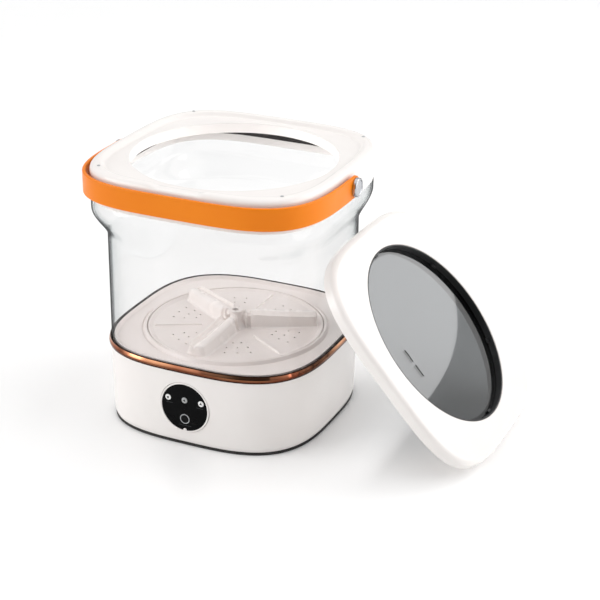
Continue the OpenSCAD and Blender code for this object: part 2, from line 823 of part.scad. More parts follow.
module motor_bracket() {
    x0 = post_x[0] - bracket_edge;
    color("#9ea3a8") difference() {
        translate([x0, -post_y - bracket_edge, motor_top])
            cube([post_x[1] + bracket_edge - x0, 2 * (post_y + bracket_edge), bracket_t]);
        bore(lower_r, bracket_t, motor_top);
        at_motor() bore(pilot_r + seat_air, bracket_t, motor_top);
        at_motor_screws() bore(screw_r + hole_fit, bracket_t, motor_top);
        at_posts() bore(screw_r + hole_fit, bracket_t, motor_top);
    }
}

module bracket_screws() {
    color(steel) at_posts() screw_up(motor_top, bracket_t + post_screw);
}

module motor_case() {
    color("#c3c6ca") difference() {
        at_motor() translate([0, 0, z_motor + cap_h]) {
            cylinder(r = motor_r, h = can_h);
            cylinder(r = pilot_r, h = can_h + bracket_t);
        }
        at_motor() translate([0, 0, z_motor + cap_h - beyond])
            cylinder(r = motor_r - case_t, h = can_h - case_end_t + beyond);
        at_motor() bore(motor_shaft_r + run_fit, case_end_t + bracket_t, motor_top - case_end_t);
        at_motor_screws() bore(screw_r + screw_fit, case_end_t, motor_top - case_end_t);
    }
}

magnet_out = motor_r - case_t;
magnet_h = can_h - case_end_t - end_air;

module motor_magnets() {
    color("#4a4c50") at_motor() difference() {
        tube(magnet_out, magnet_out - magnet_t, magnet_h, z_motor + cap_h + end_air / 2);
        rotate(45) translate([-magnet_out - beyond, -magnet_gap / 2, z_motor])
            cube([2 * (magnet_out + beyond), magnet_gap, can_h + cap_h]);
    }
}

module motor_end_cap() {
    color("#232426") at_motor() difference() {
        union() {
            translate([0, 0, z_motor]) cylinder(r = motor_r, h = cap_h);
            translate([0, 0, z_motor - cap_boss_h]) cylinder(r = cap_boss_r, h = cap_boss_h + eps);
        }
        translate([0, 0, z_motor - cap_boss_h + cap_skin])
            cylinder(r = motor_shaft_r + run_fit, h = cap_h + cap_boss_h);
    }
}

motor_head_h = 1.6;

module motor_screws() {
    color(steel) at_motor_screws() {
        translate([0, 0, z_bracket - bracket_t - case_end_t + fit])
            cylinder(r = screw_r, h = bracket_t + case_end_t - fit + motor_head_h / 2);
        translate([0, 0, z_bracket]) cylinder(r = motor_head_r, h = motor_head_h);
    }
}

module motor_armature() {
    color("#8d5a34") at_motor() tube(magnet_out - magnet_t - rotor_gap, motor_shaft_r + grip,
        magnet_h - end_air / 2, z_motor + cap_h + end_air * 0.75);
}

pinion_over = 0.5;                     // how far the pinion reaches past the gear at each end
z_pinion = z_gear - pinion_over;
pinion_h = gear_t + 2 * pinion_over;
z_motor_shaft = z_motor - cap_boss_h + cap_skin + fit;

module motor_shaft() {
    color(steel) at_motor() translate([0, 0, z_motor_shaft])
        cylinder(r = motor_shaft_r, h = z_pinion + pinion_h + pinion_over - z_motor_shaft);
}

module pinion() {
    color("#b08d4c") at_motor() difference() {
        translate([0, 0, z_pinion]) linear_extrude(pinion_h)
            polygon(gear_outline(pinion_teeth, 180 / pinion_teeth));
        bore(motor_shaft_r + grip, pinion_h, z_pinion);
    }
}

// Pulsator: a perforated disc with three rounded blades and three low ribs

rim_w = 4;                             // width of the raised rim
rim_h = 2.2;
rib_h = 2.6;
rib_in = 40;                           // distance from the axis to a rib's inner end
rib_foot = 2.4;                        // half width of a rib at its foot and at its top
rib_crest = 0.7;
sunk = 1;                              // how far blades, ribs and rim reach down into the disc
hub_taper = 2;
blade_in = 4;                          // distance from the axis to the middle of a blade's inner end
hole_r = 1.4;
hole_rows = [[54, 2], [68, 3], [82, 3]];
hole_step = 11;                        // degrees between the holes of one row
hub_seat = 1.5;                        // thickness of plastic between the shaft and the screw's head
hub_well_r = 4.2;
hub_screw_l = 9;
hub_head_r = 3.2;

module blade(a) {
    hull() rotate(a) {
        translate([blade_in, 0, z_disc_top - sunk])
            cylinder(r1 = blade_half, r2 = blade_half * 0.62, h = hub_h - sunk, $fn = 32);
        translate([blade_reach - blade_half, 0, z_disc_top - sunk])
            cylinder(r1 = blade_half, r2 = blade_half * 0.7, h = blade_h + sunk, $fn = 32);
    }
}

module rib(a) {
    rotate(a) translate([rib_in, 0, z_disc_top]) rotate([90, 0, 90])
        linear_extrude(pulsator_r - rim_w - rib_in) polygon([
            [-rib_foot, -sunk], [rib_foot, -sunk], [rib_crest, rib_h], [-rib_crest, rib_h]]);
}

module pulsator() {
    color(white) difference() {
        union() {
            translate([0, 0, z_disc]) cylinder(r = pulsator_r, h = pulsator_t);
            tube(pulsator_r, pulsator_r - rim_w, rim_h + sunk, z_disc_top - sunk);
            translate([0, 0, z_disc_top - sunk])
                cylinder(r1 = hub_r + hub_taper, r2 = hub_r - hub_taper, h = hub_h + sunk);
            for (k = [0:2]) blade(blade_angle + 120 * k);
            for (k = [0:2]) rib(blade_angle + 60 + 120 * k);
        }
        translate([0, 0, z_disc - beyond])
            cylinder(r = shaft_r + grip, h = z_shaft_top - z_disc + beyond);
        bore(screw_r + hole_fit, z_hub - z_disc, z_disc);
        translate([0, 0, z_shaft_top + hub_seat]) cylinder(r = hub_well_r, h = hub_cap);
        for (k = [0:5]) for (row = hole_rows) for (j = [0:row[1] - 1])
            rotate(blade_angle + 30 + 60 * k + (j - (row[1] - 1) / 2) * hole_step)
                translate([row[0], 0, 0]) bore(hole_r, pulsator_t, z_disc);
    }
}

module pulsator_screw() {
    color(steel) translate([0, 0, z_shaft_top + hub_seat]) {
        translate([0, 0, -hub_seat - hub_screw_l])
            cylinder(r = screw_r, h = hub_screw_l + hub_seat + screw_head_h / 3);
        difference() {
            cylinder(r = hub_head_r, h = screw_head_h);
            translate([0, 0, screw_head_h]) mirror([0, 0, 1]) cross(screw_head_h / 2);
        }
    }
}

// Lid, drawn flat with its top face at z = 0 and then leant against the tub

ring_t = 2.3;                          // thickness of the plug ring
bezel_t = 1.8;
bezel_air = 0.1;                       // air between the bezel and the plug ring
bezel_sunk = 0.8;                      // how far the bezel's edge lies below the lid's face
ledge_in = 5;                          // width of the bezel's ledge under the window
ledge_h = 1.5;
deck_z = -3;                           // underside of the lid's top wall
face_crown = 9;                        // distance of the flat top from the lid's outside
skirt_round = 7.8;                     // height of the lid's rounded outer edge
glass_z = -window_depth - glass_t;
touch_z = 2 * lid_half * sin(lid_lean);
lid_x = tub_out(touch_z) + fit + lid_half * cos(lid_lean) + lid_h * sin(lid_lean);
lid_z = lid_half * sin(lid_lean) + lid_h * cos(lid_lean);

module leaning() {
    translate([lid_x, lid_back, lid_z]) rotate([0, lid_lean, 0]) children();
}

module lid_frame() {
    color(white) leaning() difference() {
        shell([
            [lid_half, -lid_h, rim_power],
            [lid_half, -skirt_round, rim_power],
            [lid_half - face_crown * 0.07, -skirt_round * 0.62, rim_power],
            [lid_half - face_crown * 0.27, -skirt_round * 0.28, rim_power],
            [lid_half - face_crown * 0.6, -skirt_round * 0.06, rim_power],
            [lid_half - face_crown, 0, rim_power],
            [window_r + stock * 1.4, 0, 2],
            [window_r + stock * 0.4, -stock * 0.3, 2],
            [window_r - stock, -stock * 1.2, 2],
            [window_r - stock, -plug_h, 2],
            [window_r + ring_t, -plug_h, 2],
            [window_r + ring_t, deck_z, 2],
            [lid_half - face_crown, deck_z, rim_power],
            [lid_half - lid_t, -skirt_round, rim_power],
            [lid_half - lid_t, -lid_h, rim_power]
        ]);
        bore(window_r, plug_h, -plug_h);
    }
}

tabs = 6;
tab_w = 7;
tab_l = 2.2;                           // how far a tab stands in from the bezel's wall
tab_t = 2.6;

module lid_bezel() {
    r = window_r - bezel_air;
    wall_r = r - bezel_t;
    color("#0d0e0f") leaning() {
        rotate_extrude() polygon([
            [wall_r, -bezel_sunk], [r, -bezel_sunk], [r, glass_z - ledge_h],
            [wall_r - ledge_in, glass_z - ledge_h], [wall_r - ledge_in, glass_z], [wall_r, glass_z]
        ]);
        for (k = [1:tabs]) rotate(k * 360 / tabs)
            translate([wall_r - tab_l, -tab_w / 2, -window_depth + grip])
                cube([tab_l + bezel_t / 2, tab_w, tab_t]);
    }
}

slot_y = -72.5;                        // place of the two vent slots across the window
slot_mid = 7.6;
slot_pitch = 21.4;
slot_l = 16.4;
slot_w = 1.1;

module lid_window() {
    color("#5c5f62", 0.8) leaning() difference() {
        translate([0, 0, glass_z]) cylinder(r = window_r - bezel_air - bezel_t - bezel_air, h = glass_t);
        for (s = [-0.5, 0.5])
            translate([slot_mid + s * slot_pitch - slot_l / 2, slot_y - slot_w / 2, glass_z - beyond])
                cube([slot_l, slot_w, glass_t + 2 * beyond]);
    }
}

seal_ring_t = 1.8;
seal_ring_h = 4;
seal_ring_up = 2.5;                    // distance of the lid's seal from the plug's end

module lid_seal() {
    color("#d8d5d0") leaning()
        tube(window_r + ring_t + seal_ring_t, window_r + ring_t, seal_ring_h, seal_ring_up - plug_h);
}

foot_ring();
bottom_cover();
bottom_screws();
base_housing();
trim_ring();
wash_floor();
floor_screws();
tub_seal();
tub();
collar();
collar_gasket();
lid_bumpers();
pivot_pins();
pivot_washers();
handle_strap();
panel_bezel();
panel_face();
power_button();
mode_button_left();
mode_button_middle();
mode_button_right();
control_board();
board_switches();
board_screws();
power_inlet();
inlet_nut();
shaft_seal();
upper_bearing();
lower_bearing();
drive_shaft();
shaft_clip();
output_gear();
motor_bracket();
bracket_screws();
motor_case();
motor_magnets();
motor_end_cap();
motor_screws();
motor_armature();
motor_shaft();
pinion();
pulsator();
pulsator_screw();
lid_frame();
lid_bezel();
lid_window();
lid_seal();
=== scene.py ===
# Portable bucket washing machine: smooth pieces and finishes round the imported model.
import math

import bmesh
import bpy
from mathutils import Matrix, Vector


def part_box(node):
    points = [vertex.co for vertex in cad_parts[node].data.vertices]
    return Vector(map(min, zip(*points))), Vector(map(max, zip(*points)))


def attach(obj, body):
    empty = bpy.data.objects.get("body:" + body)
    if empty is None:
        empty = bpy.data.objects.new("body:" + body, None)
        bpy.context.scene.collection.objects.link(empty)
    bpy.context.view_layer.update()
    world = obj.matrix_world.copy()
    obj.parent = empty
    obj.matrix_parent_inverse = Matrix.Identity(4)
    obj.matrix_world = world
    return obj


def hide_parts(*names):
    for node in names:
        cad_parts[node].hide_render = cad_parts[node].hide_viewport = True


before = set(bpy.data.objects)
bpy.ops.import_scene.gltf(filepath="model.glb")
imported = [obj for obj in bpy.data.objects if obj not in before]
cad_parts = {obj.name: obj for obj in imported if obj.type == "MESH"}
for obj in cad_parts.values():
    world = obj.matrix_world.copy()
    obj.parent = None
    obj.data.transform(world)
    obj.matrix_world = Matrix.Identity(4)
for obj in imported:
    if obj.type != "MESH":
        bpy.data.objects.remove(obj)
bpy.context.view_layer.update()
mm = 0.001
weld = 0.0005  # points closer than this, in millimetres, become one
crisp, broken, eased = 0.2, 0.3, 0.5  # edge radii in millimetres, from a sharp moulding to a softer one
past = 2  # how far a cutting shape runs past what it cuts
touch, hair = 0.02, 0.01  # what keeps apart two pieces that touch, and two faces of one piece
print("frame loaded:", len(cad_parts), "nodes")


# Shapes. Sizes are in millimetres until a piece is finished.

def lowOf(node):
    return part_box(node)[0] / mm


def highOf(node):
    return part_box(node)[1] / mm


def smooth(share):  # from 0 to 1 with a soft start and end
    return share * share * (3 - 2 * share)


def reach(power, angle):  # edge of a squared circle as a share of its half width; power 2 is a circle
    return (abs(math.cos(angle)) ** power + abs(math.sin(angle)) ** power) ** (-1 / power)


def rounded(corners, segments=5):  # corners of a closed outline: half width, height, squareness, radius
    rows = []
    for i, (half, height, power, radius) in enumerate(corners):
        if not radius:
            rows.append((half, height, power))
            continue
        here = Vector((half, height))
        before = (Vector(corners[i - 1][:2]) - here).normalized()
        after = (Vector(corners[(i + 1) % len(corners)][:2]) - here).normalized()
        spread = before.angle(after) / 2
        centre = here + (before + after).normalized() * radius / math.sin(spread)
        first = (here + before * radius / math.tan(spread) - centre).normalized()
        last = (here + after * radius / math.tan(spread) - centre).normalized()
        for k in range(segments + 1):
            x, z = centre + first.slerp(last, k / segments) * radius
            rows.append((x, z, power))
    return rows


def placeRing(ring, row):
    half, height, power = row
    for vert in ring:
        angle = math.atan2(vert.co.y, vert.co.x)
        vert.co = half * reach(power, angle) * Vector((math.cos(angle), math.sin(angle), 0))
        vert.co.z = height


def loft(rows, around=240, ends="joined"):  # ends are joined to each other, or capped
    bm = bmesh.new()
    bmesh.ops.create_circle(bm, segments=around, radius=1)
    edges = start = bm.edges[:]
    placeRing(bm.verts, rows[0])
    for row in rows[1:]:
        made = bmesh.ops.extrude_edge_only(bm, edges=edges)["geom"]
        ring = {part for part in made if isinstance(part, bmesh.types.BMVert)}
        edges = [part for part in made if isinstance(part, bmesh.types.BMEdge) and set(part.verts) <= ring]
        placeRing(ring, row)
    if ends == "joined":
        bmesh.ops.bridge_loops(bm, edges=start + edges)
    else:
        bmesh.ops.holes_fill(bm, edges=start + edges, sides=0)
    return bm


def roundLoft(corners, around=96, ends="capped", segments=4):  # round piece: radius, height, corner radius
    rows = [(r, z, 2, corner) for r, z, corner in corners]
    if ends == "capped":  # the outline closes along the axis
        rows = [(0, rows[0][1], 2, 0)] + rows + [(0, rows[-1][1], 2, 0)]
        return loft(rounded(rows, segments)[1:-1], around, ends)
    return loft(rounded(rows, segments), around, ends)


def plug(radius, low, high, around):  # plain round shape, to cut a hole with
    return roundLoft([(radius, low, 0), (radius, high, 0)], around)


def joined(*shapes):  # one mesh from several separate closed shapes
    whole = shapes[0]
    for shape in shapes[1:]:
        part = bpy.data.meshes.new("part")
        shape.to_mesh(part)
        shape.free()
        whole.from_mesh(part)
        bpy.data.meshes.remove(part)
    return whole


def moved(bm, matrix):
    bmesh.ops.transform(bm, matrix=matrix, verts=bm.verts)
    return bm


def turned(degrees, axis="Z"):
    return Matrix.Rotation(math.radians(degrees), 4, axis)


def shifted(x=0, y=0, z=0):
    return Matrix.Translation((x, y, z))


def block(x, y, z):  # block about the origin, before it is moved
    bm = bmesh.new()
    bmesh.ops.create_cube(bm, size=1)
    bmesh.ops.scale(bm, vec=(x, y, z), verts=bm.verts)
    return bm


def meshOf(bm, name):
    bmesh.ops.remove_doubles(bm, verts=bm.verts, dist=weld)
    bmesh.ops.recalc_face_normals(bm, faces=bm.faces)
    bmesh.ops.scale(bm, vec=(mm, mm, mm), verts=bm.verts)
    mesh = bpy.data.meshes.new(name)
    bm.to_mesh(mesh)
    bm.free()
    piece = bpy.data.objects.new(name, mesh)
    bpy.context.scene.collection.objects.link(piece)
    return piece


def settle(piece):  # puts the modifiers' result in the piece's own mesh
    view = bpy.context.evaluated_depsgraph_get()
    result = bpy.data.meshes.new_from_object(piece.evaluated_get(view))
    piece.modifiers.clear()
    piece.data = result


def carve(piece, tools):  # cuts the tools' shapes out of a piece
    for tool in tools:
        modifier = piece.modifiers.new("carve", "BOOLEAN")
        modifier.operation = "DIFFERENCE"
        modifier.solver = "EXACT"
        modifier.object = tool
    settle(piece)
    for tool in tools:
        bpy.data.objects.remove(tool)


def addPiece(bm, name, finish, body, stands=(), cuts=(), sharp=35):
    # stands: the nodes that the piece replaces; cuts: shapes cut out of it; sharp: degrees
    piece = meshOf(bm, name)
    if cuts:
        carve(piece, [meshOf(cut, "tool") for cut in cuts])
    piece.data.shade_smooth()
    piece.data.set_sharp_from_angle(angle=math.radians(sharp))
    piece.modifiers.new("weigh", "WEIGHTED_NORMAL").keep_sharp = True  # keeps flat faces flat
    settle(piece)
    piece.data.materials.clear()
    piece.data.materials.append(finish)
    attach(piece, body)
    if stands:
        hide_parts(*stands)
    return piece


# Materials

colourA, colourB, mixed = 6, 7, 2  # sockets of a Mix node: its two colours and their mixture


def fromHex(code):  # sRGB hex to linear
    shares = [int(code[i:i + 2], 16) / 255 for i in (1, 3, 5)]
    return [s / 12.92 if s <= 0.04045 else ((s + 0.055) / 1.055) ** 2.4 for s in shares] + [1]


def addNode(tree, kind, settings=None, links=None):
    node = tree.nodes.new(kind)
    for name, value in (settings or {}).items():
        if isinstance(name, int) or name in node.inputs:
            node.inputs[name].default_value = value
        else:
            setattr(node, name, value)
    for name, socket in (links or {}).items():
        tree.links.new(socket, node.inputs[name])
    return node


def newMaterial(name):
    material = bpy.data.materials.new(name)
    material.use_nodes = True
    material.node_tree.nodes.clear()
    return material, material.node_tree


def addPattern(tree, size, detail=3, stretch=(1, 1, 1), between=None):
    # clouds of a size in millimetres, as they come or spread between two values
    place = addNode(tree, "ShaderNodeTexCoord").outputs["Object"]
    place = addNode(tree, "ShaderNodeMapping", {"Scale": stretch}, {"Vector": place}).outputs["Vector"]
    clouds = addNode(tree, "ShaderNodeTexNoise", {"Scale": 1 / (size * mm), "Detail": detail},
                     {"Vector": place}).outputs["Fac"]
    if not between:
        return clouds
    return addNode(tree, "ShaderNodeMapRange", {  # most of the clouds lie between 0.3 and 0.7
        "From Min": 0.3, "From Max": 0.7, "To Min": between[0], "To Max": between[1]},
        {"Value": clouds}).outputs["Result"]


# Painted highlight and shade: colour stops by height that stand in for how light falls on a mirror
def addPaintedBands(tree, low, high, stops):  # colours at shares of the height from low to high, in millimetres
    place = addNode(tree, "ShaderNodeTexCoord").outputs["Object"]
    height = addNode(tree, "ShaderNodeSeparateXYZ", links={"Vector": place}).outputs["Z"]
    share = addNode(tree, "ShaderNodeMapRange", {"From Min": low * mm, "From Max": high * mm},
                    {"Value": height}).outputs["Result"]
    ramp = addNode(tree, "ShaderNodeValToRGB", links={"Fac": share})
    while len(ramp.color_ramp.elements) < len(stops):
        ramp.color_ramp.elements.new(1)
    for element, (position, code) in zip(ramp.color_ramp.elements, stops):
        element.position, element.color = position, fromHex(code)
    return ramp.outputs["Color"]


def addSurface(name, look):
    # look: two colours and the size of their clouds, roughness, its swing and the size of its smears, and
    # the size and depth of the grain; all sizes are in millimetres
    material, tree = newMaterial(name)
    colour = addNode(tree, "ShaderNodeMix", {
        "data_type": "RGBA", colourA: fromHex(look["colour"]), colourB: fromHex(look["shade"])},
        {0: addPattern(tree, look["cloud"], between=(0, 1))}).outputs[mixed]
    # the painted highlight and shade by height multiply the colour
    if "paintedBands" in look:
        colour = addNode(tree, "ShaderNodeMix", {"data_type": "RGBA", "blend_type": "MULTIPLY", 0: 1},
                         {colourA: colour, colourB: addPaintedBands(tree, *look["paintedBands"])}).outputs[mixed]
    rough, swing = look["rough"], look["swing"]
    roughness = addPattern(tree, look["smear"], 4, between=(rough - swing, rough + swing))
    grain = addPattern(tree, look["grain"], 2, look.get("stretch", (1, 1, 1)))
    bump = addNode(tree, "ShaderNodeBump", {"Strength": 1, "Distance": look["depth"] * mm}, {"Height": grain})
    shader = addNode(tree, "ShaderNodeBsdfPrincipled", {
        "IOR": look.get("ior", 1.5), "Metallic": look.get("metal", 0),
        "Specular IOR Level": look.get("specular", 0.5)},
        {"Base Color": colour, "Roughness": roughness, "Normal": bump.outputs["Normal"]})
    addNode(tree, "ShaderNodeOutputMaterial", links={"Surface": shader.outputs["BSDF"]})
    return material


def addClear(name, look):
    # see-through moulding: tint of each wall face seen square on and at its edge, and a gloss that
    # grows towards the edge as that of the real resin does
    material, tree = newMaterial(name)
    facing = addNode(tree, "ShaderNodeLayerWeight", {"Blend": 0.5}).outputs["Facing"]
    slant = facing
    if "ease" in look:  # the flat sides are less dark where they flare out than the thick corners are
        normal = addNode(tree, "ShaderNodeNewGeometry").outputs["Normal"]
        normal = addNode(tree, "ShaderNodeVectorMath", {"operation": "ABSOLUTE"}, {0: normal}).outputs[0]
        sides = addNode(tree, "ShaderNodeSeparateXYZ", links={"Vector": normal}).outputs
        corner = addNode(tree, "ShaderNodeMath", {"operation": "MINIMUM"},
                         {0: sides["X"], 1: sides["Y"]}).outputs[0]
        flat = addNode(tree, "ShaderNodeMapRange", {
            "interpolation_type": "SMOOTHSTEP", "From Min": look["corner"][0], "From Max": look["corner"][1],
            "To Min": 1, "To Max": 0}, {"Value": corner}).outputs["Result"]
        flare = addNode(tree, "ShaderNodeMath", {"operation": "MULTIPLY"},
                        {0: flat, 1: sides["Z"]}).outputs[0]
        ease = addNode(tree, "ShaderNodeMapRange", {"To Min": look["ease"], "To Max": 0},
                       {"Value": facing}).outputs["Result"]
        ease = addNode(tree, "ShaderNodeMath", {"operation": "MULTIPLY"}, {0: ease, 1: flare}).outputs[0]
        slant = addNode(tree, "ShaderNodeMath", {"operation": "SUBTRACT"}, {0: facing, 1: ease}).outputs[0]
    steep, soft = (addNode(tree, "ShaderNodeMapRange", {
        "interpolation_type": "SMOOTHSTEP", "From Min": low, "From Max": high},
        {"Value": slant}).outputs["Result"] for low, high in (look["edge"], look["soft"]))
    tint = addNode(tree, "ShaderNodeMix", {
        "data_type": "RGBA", colourA: fromHex(look["tint"]), colourB: fromHex(look["softTint"])},
        {0: soft}).outputs[mixed]
    tint = addNode(tree, "ShaderNodeMix", {"data_type": "RGBA", colourB: fromHex(look["edgeTint"])},
                   {0: steep, colourA: tint}).outputs[mixed]
    through = addNode(tree, "ShaderNodeBsdfTransparent", links={"Color": tint})
    wave = addNode(tree, "ShaderNodeBump", {"Strength": 1, "Distance": look["waveDepth"] * mm},
                   {"Height": addPattern(tree, look["wave"], 1)})
    gloss = addNode(tree, "ShaderNodeBsdfPrincipled",
                    {"Base Color": fromHex(look["shine"]), "Metallic": 1, "Roughness": look["rough"]},
                    {"Normal": wave.outputs["Normal"]})
    rise = addNode(tree, "ShaderNodeMath", {"operation": "POWER", 1: 5}, {0: facing}).outputs[0]
    share = addNode(tree, "ShaderNodeMapRange", {"To Min": look["mirror"], "To Max": look["edgeMirror"]},
                    {"Value": rise}).outputs["Result"]
    mix = addNode(tree, "ShaderNodeMixShader", None, {0: share, 1: through.outputs[0], 2: gloss.outputs[0]})
    # light that lights other pieces passes with the tint of a bent ray, so the inside stays bright
    path = addNode(tree, "ShaderNodeLightPath").outputs
    lit = addNode(tree, "ShaderNodeMath", {"operation": "MAXIMUM"},
                  {0: path["Is Shadow Ray"], 1: path["Is Diffuse Ray"]}).outputs[0]
    bent = addNode(tree, "ShaderNodeBsdfTransparent", {"Color": fromHex(look["lightTint"])})
    mix = addNode(tree, "ShaderNodeMixShader", None, {0: lit, 1: mix.outputs[0], 2: bent.outputs[0]})
    addNode(tree, "ShaderNodeOutputMaterial", links={"Surface": mix.outputs[0]})
    return material


# The real grain of mouldings and platings is 0.05 to 0.2 mm, too fine to show, so it is drawn coarser.

# Injection-moulded ABS: warm white, an even satin gloss and the faint waviness of a polished mould
whiteAbs = addSurface("moulded white ABS", {
    "colour": "#F3EFEC", "shade": "#F0EBE8", "cloud": 90, "rough": 0.24, "swing": 0.03, "smear": 30,
    "grain": 2.2, "depth": 0.006, "ior": 1.53})
# The same ABS for the pieces inside the tub, duller and a little greyer
tubInteriorAbs = addSurface("moulded ABS inside the tub", {
    "colour": "#EEE5E2", "shade": "#E9E0DC", "cloud": 45, "rough": 0.36, "swing": 0.05, "smear": 20,
    "grain": 1.6, "depth": 0.012, "ior": 1.53})
# The pulsator's blades: the same resin, painted brighter as the highlight that they catch
bladeHighlightAbs = addSurface("ABS painted bright as the blades' highlight", {
    "colour": "#FAF3F0", "shade": "#F6EEEA", "cloud": 30, "rough": 0.26, "swing": 0.04, "smear": 15,
    "grain": 1.6, "depth": 0.01, "ior": 1.53})
# Moulded polypropylene: saturated orange with a soft sheen and a fine spark-eroded grain
orangePolypropylene = addSurface("moulded orange polypropylene", {
    "colour": "#F2860F", "shade": "#EE7E08", "cloud": 60, "rough": 0.36, "swing": 0.04, "smear": 18,
    "grain": 0.7, "depth": 0.012, "ior": 1.49, "specular": 0.22})
# Rose-gold plating on moulded ABS: a mirror, with a painted highlight along its upper side and browner
# painted shade below
roseGold = addSurface("rose-gold plating", {
    "colour": "#F2B88C", "shade": "#AE6A50", "cloud": 70, "rough": 0.1, "swing": 0.04, "smear": 6,
    "grain": 1.2, "depth": 0.002, "stretch": (1, 1, 6), "metal": 1,
    "paintedBands": (lowOf("trim_ring").z, highOf("trim_ring").z,
              ((0.2, "#7A665C"), (0.45, "#94827A"), (0.62, "#DCD4D0"), (0.85, "#FFFFFF")))})
# The same plating in the ring's two grooves, painted dark as their shade
grooveShadeRoseGold = addSurface("rose-gold plating painted with groove shade", {
    "colour": "#3A1F15", "shade": "#2A150E", "cloud": 15, "rough": 0.25, "swing": 0.06, "smear": 5,
    "grain": 1.2, "depth": 0.006, "metal": 1})
# Cast acrylic: deep black with a clear polished skin
blackAcrylic = addSurface("polished black acrylic", {
    "colour": "#060607", "shade": "#08090A", "cloud": 20, "rough": 0.08, "swing": 0.02, "smear": 9,
    "grain": 1.5, "depth": 0.001, "ior": 1.49, "specular": 0.06})
# Moulded black ABS: a soft satin black that shows its grain only where the light grazes it
blackAbs = addSurface("moulded black ABS", {
    "colour": "#111213", "shade": "#17181A", "cloud": 30, "rough": 0.42, "swing": 0.06, "smear": 12,
    "grain": 0.8, "depth": 0.02, "ior": 1.53})
# Polypropylene from a textured mould: dark grey and matt, with a pebbled skin
charcoalPolypropylene = addSurface("textured charcoal polypropylene", {
    "colour": "#3B3C3E", "shade": "#333436", "cloud": 40, "rough": 0.55, "swing": 0.06, "smear": 15,
    "grain": 0.9, "depth": 0.05, "ior": 1.49})
# Moulded rubber: dull, with a powdery bloom
charcoalRubber = addSurface("moulded charcoal rubber", {
    "colour": "#1E1B1A", "shade": "#272423", "cloud": 12, "rough": 0.72, "swing": 0.08, "smear": 8,
    "grain": 0.6, "depth": 0.03, "ior": 1.52})
# The bumpers' rubber: pale grey and matt, so that the dots stay faint on the white
greyRubber = addSurface("moulded grey rubber", {
    "colour": "#ABADAF", "shade": "#A1A3A5", "cloud": 6, "rough": 0.6, "swing": 0.06, "smear": 4,
    "grain": 0.5, "depth": 0.02, "ior": 1.52})
# Cast silicone: off-white, with the soft sheen of a greasy skin
paleSilicone = addSurface("cast pale silicone", {
    "colour": "#D9D6D1", "shade": "#D0CCC6", "cloud": 20, "rough": 0.5, "swing": 0.05, "smear": 10,
    "grain": 0.8, "depth": 0.02, "ior": 1.41})
# Button caps: small, smooth ABS mouldings with an even gloss, in white, grey and the face's black
buttonWhite = addSurface("moulded white button", {
    "colour": "#F6F6F4", "shade": "#F0F0EE", "cloud": 5, "rough": 0.22, "swing": 0.03, "smear": 3,
    "grain": 0.5, "depth": 0.004, "ior": 1.53})
buttonGrey = addSurface("moulded grey button", {
    "colour": "#B9BBBB", "shade": "#ADAFAF", "cloud": 3, "rough": 0.22, "swing": 0.03, "smear": 3,
    "grain": 0.5, "depth": 0.004, "ior": 1.53})
buttonBlack = addSurface("moulded black button", {
    "colour": "#08090A", "shade": "#0B0C0D", "cloud": 5, "rough": 0.12, "swing": 0.03, "smear": 3,
    "grain": 0.5, "depth": 0.003, "ior": 1.53, "specular": 0.08})
# Screen-printed ink on the buttons and the panel: flat, a little raised and dull
darkInk = addSurface("printed dark ink", {
    "colour": "#232527", "shade": "#2A2C2E", "cloud": 1, "rough": 0.5, "swing": 0.04, "smear": 1,
    "grain": 0.3, "depth": 0.004})
greyInk = addSurface("printed grey ink", {
    "colour": "#B2B5B7", "shade": "#A6A9AB", "cloud": 2, "rough": 0.5, "swing": 0.04, "smear": 1,
    "grain": 0.3, "depth": 0.004})
faintInk = addSurface("printed faint ink", {
    "colour": "#2B2D2F", "shade": "#333638", "cloud": 2, "rough": 0.4, "swing": 0.04, "smear": 1,
    "grain": 0.3, "depth": 0.004})
# Brushed stainless steel: pale and neutral, with blurred reflections
brushedSteel = addSurface("brushed stainless steel", {
    "colour": "#C4C5C8", "shade": "#AEB0B4", "cloud": 8, "rough": 0.22, "swing": 0.05, "smear": 3,
    "grain": 0.8, "depth": 0.004, "metal": 1})
# Zinc-plated steel: a cloudy, slightly bluish metal
zincSteel = addSurface("zinc-plated steel", {
    "colour": "#B4B8BD", "shade": "#9BA0A6", "cloud": 3, "rough": 0.32, "swing": 0.08, "smear": 2,
    "grain": 0.4, "depth": 0.01, "metal": 1})
# Plated sheet steel: a cool grey with the drawn-out grain of the rolling
sheetSteel = addSurface("plated sheet steel", {
    "colour": "#C0C4C8", "shade": "#AEB2B7", "cloud": 15, "rough": 0.28, "swing": 0.07, "smear": 8,
    "grain": 0.6, "depth": 0.01, "stretch": (1, 8, 1), "metal": 1})
# Sintered bronze: a dull brown gold, speckled by its pores
sinteredBronze = addSurface("sintered bronze", {
    "colour": "#A9824E", "shade": "#8E6A3C", "cloud": 1, "rough": 0.45, "swing": 0.1, "smear": 1,
    "grain": 0.4, "depth": 0.03, "metal": 1})
# Moulded acetal: a waxy ivory with a soft sheen
acetal = addSurface("moulded acetal", {
    "colour": "#E7E2D6", "shade": "#DED8CA", "cloud": 10, "rough": 0.38, "swing": 0.05, "smear": 6,
    "grain": 0.6, "depth": 0.01, "ior": 1.48})
# Moulded nylon: milky white and duller than the ABS
whiteNylon = addSurface("moulded white nylon", {
    "colour": "#EFEEEA", "shade": "#E7E5E0", "cloud": 5, "rough": 0.42, "swing": 0.05, "smear": 3,
    "grain": 0.5, "depth": 0.01, "ior": 1.53})
# Enamelled copper wire: warm brown turns that shine in fine lines
enamelledCopper = addSurface("enamelled copper winding", {
    "colour": "#A9622E", "shade": "#7F4420", "cloud": 2, "rough": 0.3, "swing": 0.06, "smear": 2,
    "grain": 0.5, "depth": 0.12, "stretch": (1, 1, 0.1), "metal": 1})
# Sintered ferrite: a dry charcoal grey, like fired clay
ferrite = addSurface("sintered ferrite", {
    "colour": "#3B3E42", "shade": "#2F3235", "cloud": 4, "rough": 0.6, "swing": 0.08, "smear": 3,
    "grain": 0.4, "depth": 0.04})
